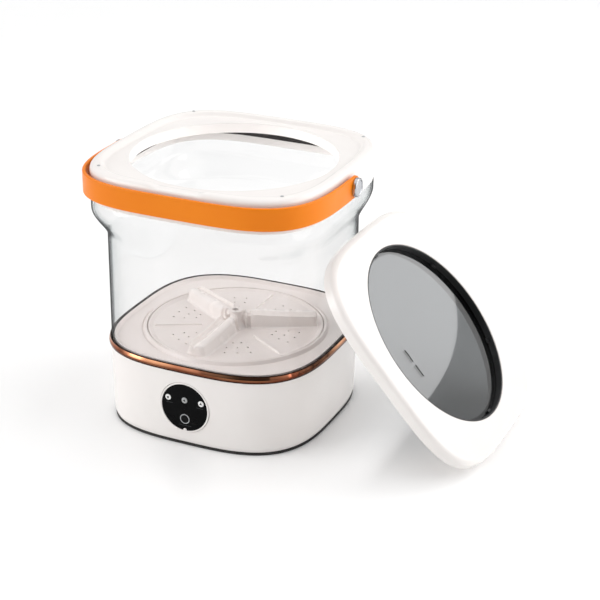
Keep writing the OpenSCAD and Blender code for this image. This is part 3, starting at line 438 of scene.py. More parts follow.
# Lacquer on the circuit board: a deep green gloss, uneven over the copper below
boardLacquer = addSurface("green board lacquer", {
    "colour": "#1E6B46", "shade": "#185A3A", "cloud": 3, "rough": 0.3, "swing": 0.05, "smear": 2,
    "grain": 1.2, "depth": 0.03, "ior": 1.55})
# Clear moulded polycarbonate: almost no tint square on, dark along its outline
clearLook = {
    "tint": "#FAFAFA", "softTint": "#F6F7F7", "soft": (0.45, 0.75), "edgeTint": "#2A2D30",
    "edge": (0.68, 0.88), "lightTint": "#FFFFFF", "shine": "#FFFFFF", "rough": 0.02, "wave": 60,
    "waveDepth": 0.15, "mirror": 0.03, "edgeMirror": 0.15, "ease": 1.5, "corner": (0.15, 0.4)}
clearPolycarbonate = addClear("clear moulded polycarbonate", clearLook)
# The inner side of the same wall, whose outline is only a pale grey line inside the dark one
innerPolycarbonate = addClear("clear polycarbonate inner side", {
    **clearLook, "softTint": "#EFF0F0", "edgeTint": "#BCBEC0", "edge": (0.74, 0.97)})
# Smoked polycarbonate: each face of the window passes a good third of the light
smokedPolycarbonate = addClear("smoked moulded polycarbonate", {
    "tint": "#A9ABAC", "softTint": "#9FA1A3", "soft": (0.4, 0.8), "edgeTint": "#5F6263", "edge": (0.7, 0.95),
    "lightTint": "#A8AAAB", "shine": "#FFFFFF", "rough": 0.02, "wave": 90, "waveDepth": 0.02, "mirror": 0.09,
    "edgeMirror": 0.9})
print("materials made:", len(bpy.data.materials))


# Base: foot, housing, plated ring, wash floor

base = {"half": 138, "draft": 1.8, "power": 3.22, "wall": 2.6, "ledge": 23.5, "ledgeThick": 3,
        "footIn": 1.3, "footOut": 0.5, "footRise": 4.5, "footWidth": 11.4, "footRound": 1, "bendRound": 6,
        "topRound": 0.5}
panel = {"height": 51, "faceRadius": 30.6, "bezelWidth": 2, "bezelThick": 3, "neckRadius": 31.1,
         "lip": 1.8, "seatAir": 0.6, "faceBack": 0.2, "humpRadius": 2.4, "humpOut": 0.6,
         "dimpleRadius": 0.9, "dimpleDepth": 1.5}
inlet = {"height": 30, "faceRadius": 7.4, "bodyRadius": 4, "air": 0.2}
power = base["power"]  # squareness of the base, the ring and the tub's foot
baseTop = highOf("base_housing").z
footTop = highOf("foot_ring").z
lowHalf = base["half"] - base["draft"]
footHalf = lowHalf - base["footIn"]
bezelFront = -lowOf("panel_bezel").y
seat = bezelFront - panel["bezelThick"]


def facingFront(bm):  # turns a piece drawn upwards so that its top looks to the front, at the panel's centre
    return moved(bm, shifted(z=panel["height"]) @ turned(90, "X"))


def buildFoot():
    low, edge, soft = footHalf - base["footWidth"], footHalf + base["footOut"], base["footRound"]
    bm = loft(rounded([(edge, 0, power, soft), (edge, footTop, power, crisp), (low, footTop, power, crisp),
                       (low, 0, power, soft)]))
    addPiece(bm, "rubberFoot", charcoalRubber, "machine", ["foot_ring"])


def steppedHole(narrow, wide, around):  # a hole through the wall with a wider seat in front
    inside, outside = seat - 12, base["half"] + 5  # both ends lie clear of the wall
    return roundLoft([(narrow, inside, 0), (narrow, seat, 0), (wide, seat, 0), (wide, outside, 0)], around)


def buildHousing():
    half, wall = base["half"], base["wall"]
    ledgeHalf = half - base["ledge"]
    ledgeLow = baseTop - base["ledgeThick"]
    bend = footTop + base["footRise"]
    bm = loft(rounded([
        (footHalf, footTop, power, 0.4), (lowHalf, bend, power, base["bendRound"]),
        (half, ledgeLow, power, 0), (half, baseTop, power, base["topRound"]),
        (ledgeHalf, baseTop, power, eased), (ledgeHalf, ledgeLow, power, eased),
        (half - wall, ledgeLow, power, 0.8), (lowHalf - wall, bend + wall / 2, power, 4),
        (footHalf - wall, bend - wall / 2, power, 2), (footHalf - wall, footTop, power, broken)]))
    air = panel["seatAir"]
    frontCut = facingFront(steppedHole(panel["neckRadius"] + air,
                                       panel["faceRadius"] + panel["bezelWidth"] + air, 96))
    backCut = moved(steppedHole(inlet["bodyRadius"] + inlet["air"], inlet["faceRadius"] + inlet["air"], 64),
                    shifted(z=inlet["height"]) @ turned(-90, "X"))
    addPiece(bm, "mouldedHousing", whiteAbs, "machine", ["base_housing"], [frontCut, backCut])


ring = {"proud": 2.2, "backIn": 1.2, "lowerLine": 1.6, "upperLine": 0.3, "bulge": 1.6, "flat": 0.55,
        "slant": 19, "innerIn": 0.5, "beadIn": 0.5, "topRound": 0.6}


# Plated ring: the bead carries a painted highlight above and painted shade below, and the grooves are painted
# dark as shade
def buildRing():  # a bright bead between two dark grooves, its upper part a slanted flat
    low, high = lowOf("trim_ring").z, highOf("trim_ring").z
    outer, inner = base["half"] + ring["proud"], base["half"] - ring["innerIn"]
    back = outer - ring["backIn"]
    beadBack = back - ring["beadIn"]
    beadLow, beadHigh = low + ring["lowerLine"], high - ring["upperLine"]
    # the backing shows above and below the bead as dark lines of painted shade
    backing = loft(rounded([(back, low, power, broken), (back, high, power, ring["topRound"]),
                            (inner, high, power, crisp), (inner, low, power, crisp)]))
    addPiece(backing, "ringBacking", grooveShadeRoseGold, "machine", ["trim_ring"])
    flat = ring["flat"] * (beadHigh - beadLow)
    flatIn = flat * math.tan(math.radians(ring["slant"]))
    bead = loft(rounded([(outer, beadLow, power, ring["bulge"]), (outer, beadHigh - flat, power, broken),
                         (outer - flatIn, beadHigh, power, 0.4), (beadBack, beadHigh, power, 0),
                         (beadBack, beadLow, power, 0)], segments=8))
    addPiece(bead, "platedBead", roseGold, "machine")


washFloor = {"half": 134.4, "thick": 5.5, "recess": 110, "recessDepth": 3.5, "lipWidth": 3.4,
             "lipHeight": 3.5, "edgeRise": 4.1, "edgeWidth": 1, "edgeFoot": 4, "grooveOut": 3.4,
             "grooveIn": 2.2, "grooveDepth": 1, "under": 3, "bossRadius": 14, "bossHeight": 14,
             "sealRadius": 9, "sealHeight": 6.4, "bearingRadius": 8, "bearingHeight": 9, "shaftHole": 4.8,
             "postRadius": 4, "postIn": 3}


def buildWashFloor():
    f = washFloor
    top = baseTop + f["thick"]
    pit = top - f["recessDepth"]
    lip, lipTop = f["recess"] + f["lipWidth"], top + f["lipHeight"]
    half, edgeTop, groove = f["half"], top + f["edgeRise"], top - f["grooveDepth"]
    under = pit - f["under"]
    bossLow, sealLow = under - f["bossHeight"], pit - f["sealHeight"]
    bearingTop = bossLow + f["bearingHeight"]
    bm = loft(rounded([
        (half, baseTop, power, broken), (half, edgeTop, power, 0.4),
        (half - f["edgeWidth"], edgeTop, power, 0.4), (half - f["edgeFoot"], top, power, 3),
        (lip + f["grooveOut"], top, 2, crisp), (lip + f["grooveOut"] - crisp, groove, 2, crisp),
        (lip + f["grooveIn"], groove, 2, crisp), (lip - 0.4, lipTop, 2, 1.4),
        (f["recess"] + 0.3, lipTop, 2, 1.1), (f["recess"], pit, 2, 1), (f["sealRadius"], pit, 2, broken),
        (f["sealRadius"], sealLow, 2, 0), (f["shaftHole"], sealLow, 2, 0), (f["shaftHole"], bearingTop, 2, 0),
        (f["bearingRadius"], bearingTop, 2, 0), (f["bearingRadius"], bossLow, 2, crisp),
        (f["bossRadius"], bossLow, 2, eased), (f["bossRadius"], under, 2, 1.5), (lip, under, 2, eased),
        (lip, baseTop, 2, 0)], segments=6))
    posts, low, high = [], lowOf("bracket_screws"), highOf("bracket_screws")
    for x in (low.x + f["postIn"], high.x - f["postIn"]):
        for y in (low.y + f["postIn"], high.y - f["postIn"]):
            post = roundLoft([(f["postRadius"], lowOf("wash_floor").z, broken),
                              (f["postRadius"], under - hair, 0)], around=32)
            posts.append(moved(post, shifted(x, y)))
    addPiece(joined(bm, *posts), "washFloor", tubInteriorAbs, "machine", ["wash_floor"])


buildFoot()
buildHousing()
buildRing()
buildWashFloor()
print("base built")


# Pulsator: perforated disc with rounded blades, a fence beside each blade and low ribs between them

pulsator = {"radius": 109.2, "thick": 3, "rimWidth": 5, "rimTop": 2.2, "rimFoot": 1.5, "rimHeight": 2.2,
            "hubRadius": 9.5, "hubHeight": 21, "hubOver": 8, "hubFlare": 6, "hubWaist": 8, "waistOut": 1,
            "hubTaper": 0.5, "boreRadius": 4.02, "boreHeight": 13, "headRadius": 4.2, "headHeight": 14.5,
            "screwRadius": 1.8, "blades": 3, "bladeAngle": 28,
            "ribIn": 40, "ribOut": 3, "ribHalf": 0.8, "ribHeight": 2.6,
            "holeRadius": 1.4, "holeStep": 11, "holeRows": ((54, 2), (68, 3), (82, 3)),
            "bladeOutline": (  # place across the blade, height and corner radius
                (-14.6, 0, 0), (-12.4, 1, 1.6), (-11.2, 14, 0.8), (-9.4, 14, 0.8), (-8, 10.4, 1.4),
                (-3.5, 10.4, 3), (2, 14.8, 4), (9.4, 14.6, 5.5), (13.2, 1, 1.8), (15.6, 0, 0)),
            "bladeStations": (  # place along the blade, and its width and height there as shares
                (7, 0.5, 1.1), (11, 0.62, 1.2), (12, 0.86, 1.32), (13.2, 0.86, 1.32), (14.2, 0.6, 1.06),
                (17.5, 0.62, 1.04), (18.6, 0.84, 1.2), (20.5, 0.95, 1.26), (24, 0.98, 1.27),
                (34, 1, 1.22), (52, 1, 1.13), (72, 1, 1.05), (90, 1, 1), (95, 0.98, 0.99),
                (98, 0.93, 0.97), (99.8, 0.82, 0.94), (101, 0.62, 0.88), (101.6, 0.4, 0.8))}


def ridge(outline, stations):  # an outline across a ridge, carried along +X through its stations
    bm = bmesh.new()
    ring = [bm.verts.new((0, y, z)) for y, z, _ in outline]
    edges = start = [bm.edges.new((ring[i - 1], ring[i])) for i in range(len(ring))]
    x, wide, high = 0, 1, 1
    for k, (nextX, nextWide, nextHigh) in enumerate(stations):
        if k:
            made = bmesh.ops.extrude_edge_only(bm, edges=edges)["geom"]
            ring = [part for part in made if isinstance(part, bmesh.types.BMVert)]
            own = set(ring)
            edges = [part for part in made if isinstance(part, bmesh.types.BMEdge) and set(part.verts) <= own]
        bmesh.ops.translate(bm, vec=(nextX - x, 0, 0), verts=ring)
        bmesh.ops.scale(bm, vec=(1, nextWide / wide, nextHigh / high), verts=ring)
        x, wide, high = nextX, nextWide, nextHigh
    bmesh.ops.holes_fill(bm, edges=start + edges, sides=0)
    return bm


def bladeShape():  # raised edge on one side, a shallow trough, and a full round shoulder on the other
    outline = rounded([(y, z, 0, radius) for y, z, radius in pulsator["bladeOutline"]], segments=6)
    return ridge(outline, pulsator["bladeStations"])


def thinRidge(length, half, high):  # low wall with a rounded crest, blunt at the hub and soft at the rim
    outline = rounded([(-half - 1, 0, 0, 0), (-half, 0.4, 0, eased), (-half * 0.8, high, 0, half * 0.7),
                       (half * 0.8, high, 0, half * 0.7), (half, 0.4, 0, eased), (half + 1, 0, 0, 0)])
    return ridge(outline, [(2, 1, 0.9), (4, 1, 1), (length - 4, 1, 1), (length - 2, 1, 0.9),
                           (length, 0.5, 0.2)])


def buildPulsator():
    p = pulsator
    top = highOf("drive_shaft").z + p["hubOver"]
    disc = top - p["hubHeight"]
    under, rimTop = disc - p["thick"], disc + p["rimHeight"]
    bore, web = disc + p["boreHeight"], disc + p["headHeight"]
    rim = p["radius"] - p["rimWidth"]
    face = roundLoft([
        (p["boreRadius"], under, 0), (p["radius"], under, 0.6), (p["radius"], rimTop, 1.2),
        (p["radius"] - p["rimTop"], rimTop, 1.2), (rim - p["rimFoot"], disc, 2.5),
        (p["hubRadius"] + p["hubFlare"], disc, 6), (p["hubRadius"] + p["waistOut"], disc + p["hubWaist"], 4),
        (p["hubRadius"] - p["hubTaper"], disc + p["hubHeight"], 1.2),
        (p["headRadius"], disc + p["hubHeight"], eased), (p["headRadius"], web, 0),
        (p["screwRadius"], web, 0), (p["screwRadius"], bore, 0),
        (p["boreRadius"], bore, 0)], around=192, ends="joined", segments=6)
    blades, onDisc, step = [], disc - touch, 360 / p["blades"]
    for k in range(p["blades"]):
        angle = p["bladeAngle"] + step * k
        blades.append(moved(bladeShape(), turned(angle) @ shifted(z=onDisc)))
        rib = thinRidge(rim - p["ribOut"] - p["ribIn"], p["ribHalf"], p["ribHeight"])
        blades.append(moved(rib, turned(angle + step / 2) @ shifted(p["ribIn"], 0, onDisc)))
    holes = []
    for k in range(2 * p["blades"]):  # a group on each side of each blade
        for radius, count in p["holeRows"]:
            for j in range(count):
                angle = p["bladeAngle"] + step / 4 + step / 2 * k + (j - (count - 1) / 2) * p["holeStep"]
                hole = plug(p["holeRadius"], under - 1, disc + 1, 16)
                holes.append(moved(hole, turned(angle) @ shifted(radius)))
    addPiece(face, "pulsatorDisc", tubInteriorAbs, "pulsator", ["pulsator"], [joined(*holes)])
    # the blades' lighter ABS is a painted highlight
    addPiece(joined(*blades), "pulsatorBlades", bladeHighlightAbs, "pulsator")


buildPulsator()
print("pulsator built")


# Tub, collar and gasket

tub = {"half": 137.2, "rimHalf": 149, "rimPower": 3.76, "wall": 2.5, "foot": 8, "straight": 143,
       "flare": 37, "flareRows": 16, "lip": 8, "innerLip": 4, "step": 3.2}
rimHalf, rimPower = tub["rimHalf"], tub["rimPower"]
neckHalf = rimHalf - tub["step"]
neckTop = highOf("tub").z
collarLow, collarTop = lowOf("collar").z, highOf("collar").z
pivotZ = (highOf("handle_strap").z + lowOf("handle_strap").z) / 2


def buildTub():
    half, wall, rows, low = tub["half"], tub["wall"], tub["flareRows"], lowOf("tub").z
    straightLow, flareLow = low + tub["foot"], baseTop + tub["straight"]

    def side(inset, up):
        made = []
        for k in (range(rows + 1) if up else range(rows, -1, -1)):
            ease = smooth(k / rows)
            made.append((half + (rimHalf - half) * ease - inset, flareLow + tub["flare"] * (k / rows),
                         power + (rimPower - power) * ease))
        return made

    inside = neckHalf - wall
    lines = [(half, low, power), (half, straightLow, power)]
    lines += side(0, True)
    lines += rounded([(rimHalf, collarLow - tub["lip"], rimPower, 0), (rimHalf, collarLow, rimPower, eased),
                      (neckHalf, collarLow, rimPower, eased), (neckHalf, neckTop, rimPower, 0.7),
                      (inside, neckTop, rimPower, 0.7), (inside, collarLow - tub["innerLip"], rimPower, 2)])
    lines += side(wall, False)
    lines += [(half - wall, straightLow, power), (half - wall, low, power)]
    piece = addPiece(loft(lines), "clearTub", clearPolycarbonate, "machine", ["tub"])
    piece.data.materials.append(innerPolycarbonate)
    for face in piece.data.polygons:  # the wall's inner side looks to the middle
        face.material_index = int(face.normal.xy.dot(face.center.xy) < 0)


collar = {"mouth": 124.5, "mouthRound": 1.6, "throat": 13, "throatWall": 2.5, "dish": 5, "dishRound": 4,
          "deck": 3.4, "rimRound": 8, "crown": 8, "crownFlat": 3, "crownRound": 5, "rimFoot": 15.5,
          "notch": 60, "notchDepth": 3, "notchSlope": 10, "air": 0.2, "gasket": 4.4, "gasketUp": 1.5,
          "pinRadius": 4.02, "pinIn": 2.6}


def atPivot(bm, side):  # turns a piece drawn upwards so that it stands out at the left (-1) or right (1)
    return moved(bm, shifted(z=pivotZ) @ turned(side * 90, "Y"))


def buildCollar():
    c, square = collar, rimPower
    dishZ = collarTop - c["dish"]
    deckLow, throatLow = dishZ - c["deck"], dishZ - c["throat"]
    mouth, throatOut = c["mouth"], c["mouth"] + c["throatWall"]
    gasketLow, gasketTop = lowOf("collar_gasket").z + c["gasketUp"], highOf("collar_gasket").z
    neckOver, neckOut, wallIn = neckTop + c["air"], neckHalf + c["air"], neckHalf - tub["wall"]
    gasketOut = wallIn - c["air"]
    gasketIn = gasketOut - c["gasket"]
    bm = loft(rounded([
        (rimHalf, collarLow, square, 0.6), (rimHalf, collarTop, square, c["rimRound"]),
        (rimHalf - c["crown"] - c["crownFlat"], collarTop, square, c["crownRound"]),
        (rimHalf - c["rimFoot"], dishZ, square, c["dishRound"]), (mouth + 3, dishZ, 2, 0),
        (mouth, dishZ, 2, c["mouthRound"]), (mouth, throatLow, 2, 0.6), (throatOut, throatLow, 2, 0.6),
        (throatOut, deckLow, 2, eased), (gasketIn, deckLow, square, eased), (gasketIn, gasketTop, square, 0),
        (wallIn, gasketTop, square, 0), (wallIn, neckOver, square, 0), (neckOut, neckOver, square, 0),
        (neckOut, collarLow, square, 0.4)], segments=7), around=288)
    half, drop, slope = c["notch"] / 2, c["notchDepth"], c["notchSlope"]
    for vert in bm.verts:  # finger notch: the front rim dips smoothly
        if vert.co.y < -rimHalf + c["rimFoot"] + 2 and vert.co.z > dishZ + 0.1:
            share = smooth(min(1, max(0, (half + slope / 2 - abs(vert.co.x)) / slope)))
            vert.co.z -= share * drop * (vert.co.z - dishZ) / c["dish"]
    pins = [atPivot(plug(c["pinRadius"], rimHalf - c["pinIn"], rimHalf + past, 48), side) for side in (-1, 1)]
    addPiece(bm, "mouldedCollar", whiteAbs, "machine", ["collar"], pins)
    seal = loft(rounded([(gasketOut, gasketLow, square, 1), (gasketOut, gasketTop, square, broken),
                         (gasketIn, gasketTop, square, broken), (gasketIn, gasketLow, square, 1.5)]))
    addPiece(seal, "collarGasket", charcoalRubber, "machine", ["collar_gasket"])


bumper = {"radius": 2, "height": 0.6, "stem": 1.3, "deep": 6}


def buildBumpers():
    b, seatZ = bumper, collarTop + hair
    spot = highOf("lid_bumpers").x - b["radius"]
    dots = []
    for x in (-1, 1):
        for y in (-1, 1):
            dot = roundLoft([(b["stem"], collarTop - b["deep"], crisp), (b["stem"], seatZ, 0),
                             (b["radius"], seatZ, 0.1), (b["radius"], collarTop + b["height"], eased)],
                            around=40)
            dots.append(moved(dot, shifted(x * spot, y * spot)))
    addPiece(joined(*dots), "lidBumpers", greyRubber, "machine", ["lid_bumpers"])


buildTub()
buildCollar()
buildBumpers()
print("tub and collar built")


# Handle: strap on two polished pivots

strap = {"gap": 4, "thick": 3.5, "edge": 1.4, "innerEdge": 0.6,
         "endColumns": (3, 6, 8.5, 10.5, 12, 12.9, 13.3)}  # where the round ends get their points
pivot = {"radius": 4, "hole": 4.05, "headRadius": 11.5, "headThick": 5, "headRound": 1.6, "faceWidth": 2.4,
         "dimpleWidth": 3, "dimpleDepth": 0.8, "washer": 7.5, "air": 0.3}
strapHalf = (highOf("handle_strap").z - lowOf("handle_strap").z) / 2
strapIn = rimHalf + strap["gap"]
strapOut = strapIn + strap["thick"]


def cutAt(bm, y, clear):  # a line of points across the strap; what lies behind it may be cleared away
    bmesh.ops.bisect_plane(bm, geom=bm.verts[:] + bm.edges[:] + bm.faces[:], plane_co=(0, y, 0),
                           plane_no=(0, 1, 0), clear_outer=clear)


def buildStrap():
    s = strap
    low, high = pivotZ - strapHalf, pivotZ + strapHalf
    bm = loft(rounded([
        (strapIn, low, rimPower, s["innerEdge"]), (strapOut, low, rimPower, s["edge"]),
        (strapOut, high, rimPower, s["edge"]), (strapIn, high, rimPower, s["innerEdge"])]), around=288)
    for y in s["endColumns"]:
        cutAt(bm, y, False)
    cutAt(bm, strapHalf - touch, True)
    for vert in bm.verts:  # the strap's ends are round, about the pivots
        if vert.co.y > 0:
            vert.co.z = pivotZ + (vert.co.z - pivotZ) * math.sqrt(1 - (vert.co.y / strapHalf) ** 2)
    bmesh.ops.holes_fill(bm, edges=[edge for edge in bm.edges if edge.is_boundary], sides=0)
    holes = [atPivot(plug(pivot["hole"], strapIn - past, strapOut + past, 64), side) for side in (-1, 1)]
    addPiece(bm, "carryStrap", orangePolypropylene, "handle", ["handle_strap"], holes)


def buildPivots():
    p, pins, washers = pivot, [], []
    head = strapOut + p["air"]
    headTop = head + p["headThick"]
    washerLow, washerTop = rimHalf + touch, strapIn - p["air"]
    for side in (-1, 1):
        pin = roundLoft([(p["radius"], rimHalf - collar["pinIn"], broken), (p["radius"], head, 0),
                         (p["headRadius"], head, eased), (p["headRadius"], headTop, p["headRound"]),
                         (p["headRadius"] - p["faceWidth"], headTop, eased),
                         (p["headRadius"] - p["dimpleWidth"], headTop - p["dimpleDepth"], eased)])
        pins.append(atPivot(pin, side))
        washer = roundLoft([(p["hole"], washerLow, 0), (p["washer"], washerLow, broken),
                            (p["washer"], washerTop, broken), (p["hole"], washerTop, 0)],
                           around=64, ends="joined")
        washers.append(atPivot(washer, side))
    addPiece(joined(*pins), "steelPivots", brushedSteel, "machine", ["pivot_pins"])
    addPiece(joined(*washers), "pivotWashers", whiteNylon, "machine", ["pivot_washers"])


buildStrap()
buildPivots()
print("handle built")


# Control panel: bezel, glossy face, buttons and their printed marks

button = {"modeRadius": 3.7, "powerRadius": 6.3, "modeX": 22, "modeZ": 9.6, "powerZ": -15.2, "air": 0.3,
          "flangeWidth": 0.8, "flangeThick": 1, "flangeBack": 2.7, "stem": 1.5}
marks = {"height": 0.06, "sunk": 0.05, "ringWidth": 1.05, "ringDeep": 0.4, "triangle": 2.3,
         "lineWidth": 0.35, "lineThick": 0.1, "modeLine": 9, "modeDrop": 6.4, "modeIn": 1.5, "powerLine": 17,
         "powerDrop": 8.6}
faceFront = -lowOf("panel_face").y


def buildPanel():
    p, b, around = panel, button, 128
    outer, face = p["faceRadius"] + p["bezelWidth"], p["faceRadius"] + touch
    lip, lipFront, lipBack = face - p["lip"], seat - p["faceBack"], seat - p["lip"]
    bezel = roundLoft([(face, bezelFront, eased), (face, lipFront, 0), (lip, lipFront, 0),
                       (lip, lipBack, crisp), (p["neckRadius"], lipBack, crisp), (p["neckRadius"], seat, 0),
                       (outer, seat, 0.1), (outer, bezelFront, 0.8)], around, ends="joined")
    addPiece(facingFront(bezel), "panelBezel", whiteAbs, "machine", ["panel_bezel"])
    hump = moved(roundLoft([(p["humpRadius"], seat, 0), (p["humpRadius"], bezelFront, 0.8)], around=48),
                 shifted(0, p["humpOut"] - face))
    dimple = moved(plug(p["dimpleRadius"], bezelFront - p["dimpleDepth"], bezelFront + past, 24),
                   shifted(0, -p["humpOut"] - face))
    addPiece(facingFront(hump), "bezelHump", whiteAbs, "machine", (), [facingFront(dimple)])
    disc = roundLoft([(p["faceRadius"], lipFront, 0), (p["faceRadius"], faceFront, broken)], around)
    holes = [(x, b["modeZ"], b["modeRadius"]) for x in (-b["modeX"], 0, b["modeX"])]
    holes.append((0, b["powerZ"], b["powerRadius"]))
    tools = [facingFront(moved(plug(radius + b["air"], seat - 3, faceFront + past, 64), shifted(x, z)))
             for x, z, radius in holes]
    addPiece(facingFront(disc), "glossyFace", blackAcrylic, "machine", ["panel_face"], tools)


def buildButton(name, node, body, finish, radius, x, z):
    b, front, back = button, -lowOf(node).y, -highOf(node).y
    flange = faceFront - b["flangeBack"]  # the flange behind the face keeps the cap in
    flangeOut, flangeLow = radius + b["flangeWidth"], flange - b["flangeThick"]
    cap = roundLoft([(b["stem"], back, crisp), (b["stem"], flangeLow, 0), (flangeOut, flangeLow, 0.1),
                     (flangeOut, flange, 0.1), (radius, flange, 0), (radius, front - 0.1, 0.45),
                     (radius * 0.7, front, 2)], around=64)
    addPiece(facingFront(moved(cap, shifted(x, z))), name, finish, body, [node])


def buildMarks():
    b, m = button, marks
    front, powerFront = -lowOf("mode_button_left").y, -lowOf("power_button").y
    for name, body, x, angle in (("modeMarkLeft", "mode_key_left", -b["modeX"], 180),
                                 ("modeMarkMiddle", "mode_key_middle", 0, -30),
                                 ("modeMarkRight", "mode_key_right", b["modeX"], 0)):
        mark = plug(m["triangle"], front - m["sunk"], front + m["height"], 3)  # points along +X
        mark = moved(mark, shifted(x, b["modeZ"]) @ turned(angle))
        addPiece(facingFront(mark), name, darkInk, body)
    outer, inner, low = b["powerRadius"], b["powerRadius"] - m["ringWidth"], powerFront - m["ringDeep"]
    ringMark = roundLoft([(outer, low, 0), (outer, powerFront + 0.05, 0.1),
                          (inner, powerFront + m["height"], 0.1), (inner, low, 0)], ends="joined")
    addPiece(facingFront(moved(ringMark, shifted(0, b["powerZ"]))), "powerMark", greyInk, "power_key")
    modeX, modeZ = b["modeX"] - m["modeIn"], b["modeZ"] - m["modeDrop"]
    lines = [moved(block(length, m["lineWidth"], m["lineThick"]), shifted(x, z, faceFront + touch))
             for length, x, z in ((m["modeLine"], -modeX, modeZ), (m["modeLine"], modeX, modeZ),
                                  (m["powerLine"], 0, b["powerZ"] - m["powerDrop"]))]
    addPiece(facingFront(joined(*lines)), "panelLines", faintInk, "machine")


buildPanel()
for side, x, finish in (("Left", -1, buttonWhite), ("Middle", 0, buttonGrey), ("Right", 1, buttonWhite)):
    buildButton("modeCap" + side, "mode_button_" + side.lower(), "mode_key_" + side.lower(),
                finish, button["modeRadius"], x * button["modeX"], button["modeZ"])
buildButton("powerCap", "power_button", "power_key", buttonBlack, button["powerRadius"], 0,
            button["powerZ"])
buildMarks()
print("panel built")


# Lid: white frame, black bezel with tabs, smoked window, leaning against the tub

lid = {"half": 152, "height": 16, "wall": 2.6, "skin": 3, "shoulder": 9, "shoulderLow": 7.8,
       "edgeRound": 7.5, "opening": 119.9, "mouthRound": 1.3, "plug": 25, "ringWall": 2.3, "lean": 49,
       "windowDepth": 9, "glass": 3, "air": 0.1, "bezelWall": 1.8, "bezelDrop": 0.8, "ledge": 5,
       "ledgeThick": 1.5, "tabs": 6, "tabWidth": 7, "tabLength": 3, "tabRoot": 0.9, "tabThick": 2.6,
       "slotY": -72.5, "slotX": (-3.1, 18.3), "slotLength": 16.4, "slotWidth": 2.2, "insetAir": 0.04,
       "insetProud": 0.1, "sealUp": 2.5, "sealProud": 1.8, "sealFoot": 1, "sealHeight": 4}
ringOut = lid["opening"] + lid["ringWall"]  # outside of the ring that plugs the mouth


def leaning():  # from the flat lid, face at z = 0, to where it stands
    angle = math.radians(lid["lean"])
    low, high = lowOf("lid_frame"), highOf("lid_frame")
    y = (low.y + high.y) / 2
    z = lid["half"] * math.sin(angle) + lid["height"] * math.cos(angle)
    x = low.x + lid["half"] * math.cos(angle) + lid["height"] * math.sin(angle)
    return shifted(x, y, z) @ turned(lid["lean"], "Y")


def buildLidFrame(place):
    d, square, half, low = lid, rimPower, lid["half"], -lid["height"]
    opening, inside = d["opening"], half - d["wall"]
    shell = loft(rounded([
        (half, low, square, eased), (half, 0, square, d["edgeRound"]), (opening + 4, 0, 2, 0),
        (opening, 0, 2, d["mouthRound"]), (opening, -d["plug"], 2, 0.6), (ringOut, -d["plug"], 2, 0.6),
        (ringOut, -d["skin"], 2, 0.6), (half - d["shoulder"], -d["skin"], square, 0),
        (inside, -d["shoulderLow"], square, 3), (inside, low, square, eased)], segments=8), around=288)
    addPiece(moved(shell, place), "lidFrame", whiteAbs, "lid", ["lid_frame"])


def buildLidSeal(place):
    d = lid
    sealLow, against, proud = d["sealUp"] - d["plug"], ringOut + touch, ringOut + d["sealProud"]
    seal = roundLoft([(against, sealLow, 0), (proud, sealLow + d["sealFoot"], 0.7),
                      (proud, sealLow + d["sealHeight"] - d["sealFoot"], 0.7),
                      (against, sealLow + d["sealHeight"], 0)], around=192, ends="joined")
    addPiece(moved(seal, place), "lidSeal", paleSilicone, "lid", ["lid_seal"])


def buildWindow(place):
    d, glassTop, around = lid, -lid["windowDepth"], 240
    glassLow, top, wall = glassTop - d["glass"], -d["bezelDrop"], d["opening"] - d["air"]
    ledgeLow, inner = glassLow - d["ledgeThick"], wall - d["bezelWall"]
    ledge = inner - d["ledge"]
    bezel = roundLoft([(inner, top, 0.4), (inner, glassLow, 0), (ledge, glassLow, crisp),
                       (ledge, ledgeLow, broken), (wall, ledgeLow, broken), (wall, top, 0.4)],
                      around, ends="joined")
    tabs = []
    for k in range(d["tabs"]):
        tab = block(d["tabLength"] + d["tabRoot"], d["tabWidth"], d["tabThick"])
        bmesh.ops.bevel(tab, geom=tab.edges[:], offset=broken, segments=2, profile=0.5, affect="EDGES",
                        material=-1)
        tabs.append(moved(tab, turned(360 / d["tabs"] * k) @ shifted(
            inner - d["tabLength"] / 2 + d["tabRoot"] / 2, 0, d["tabThick"] / 2 + glassTop + touch)))
    addPiece(moved(joined(bezel, *tabs), place), "lidBezel", blackAbs, "lid", ["lid_bezel"])
    paneOut = inner - d["air"]
    pane = roundLoft([(paneOut, glassLow, crisp), (paneOut, glassTop, broken)], around)
    slots = [moved(block(d["slotLength"], d["slotWidth"], 8), place @ shifted(x, d["slotY"], glassTop))
             for x in d["slotX"]]
    addPiece(moved(pane, place), "smokedWindow", smokedPolycarbonate, "lid",
             ["lid_window"], slots)
    for name, x in zip(("slotInsetUpper", "slotInsetLower"), d["slotX"]):  # the slots look black
        inset = block(d["slotLength"] - d["insetAir"], d["slotWidth"] - d["insetAir"],
                      d["glass"] + d["insetProud"])
        spot = place @ shifted(x, d["slotY"], glassTop - d["glass"] / 2)
        addPiece(moved(inset, spot), name, blackAcrylic, "lid")


buildLidFrame(leaning())
buildWindow(leaning())
buildLidSeal(leaning())
print("lid built")


# Nodes that show as they were packed

dressed = {
    "bottom_cover": charcoalPolypropylene, "bottom_screws": zincSteel, "floor_screws": zincSteel,
    "tub_seal": paleSilicone, "control_board": boardLacquer, "board_switches": blackAbs,
    "board_screws": zincSteel, "power_inlet": blackAbs, "inlet_nut": zincSteel,
    "shaft_seal": charcoalRubber, "upper_bearing": sinteredBronze, "lower_bearing": sinteredBronze,
    "drive_shaft": zincSteel, "shaft_clip": zincSteel, "output_gear": acetal, "motor_bracket": sheetSteel,
    "bracket_screws": zincSteel, "motor_case": sheetSteel, "motor_magnets": ferrite,
    "motor_end_cap": blackAbs, "motor_screws": zincSteel, "motor_armature": enamelledCopper,
    "motor_shaft": zincSteel, "pinion": sinteredBronze, "pulsator_screw": zincSteel}
for node, finish in dressed.items():
    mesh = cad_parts[node].data
    mesh.materials.clear()
    mesh.materials.append(finish)
print("nodes dressed:", len(dressed))


# Floor, light and camera. Sizes are in metres.

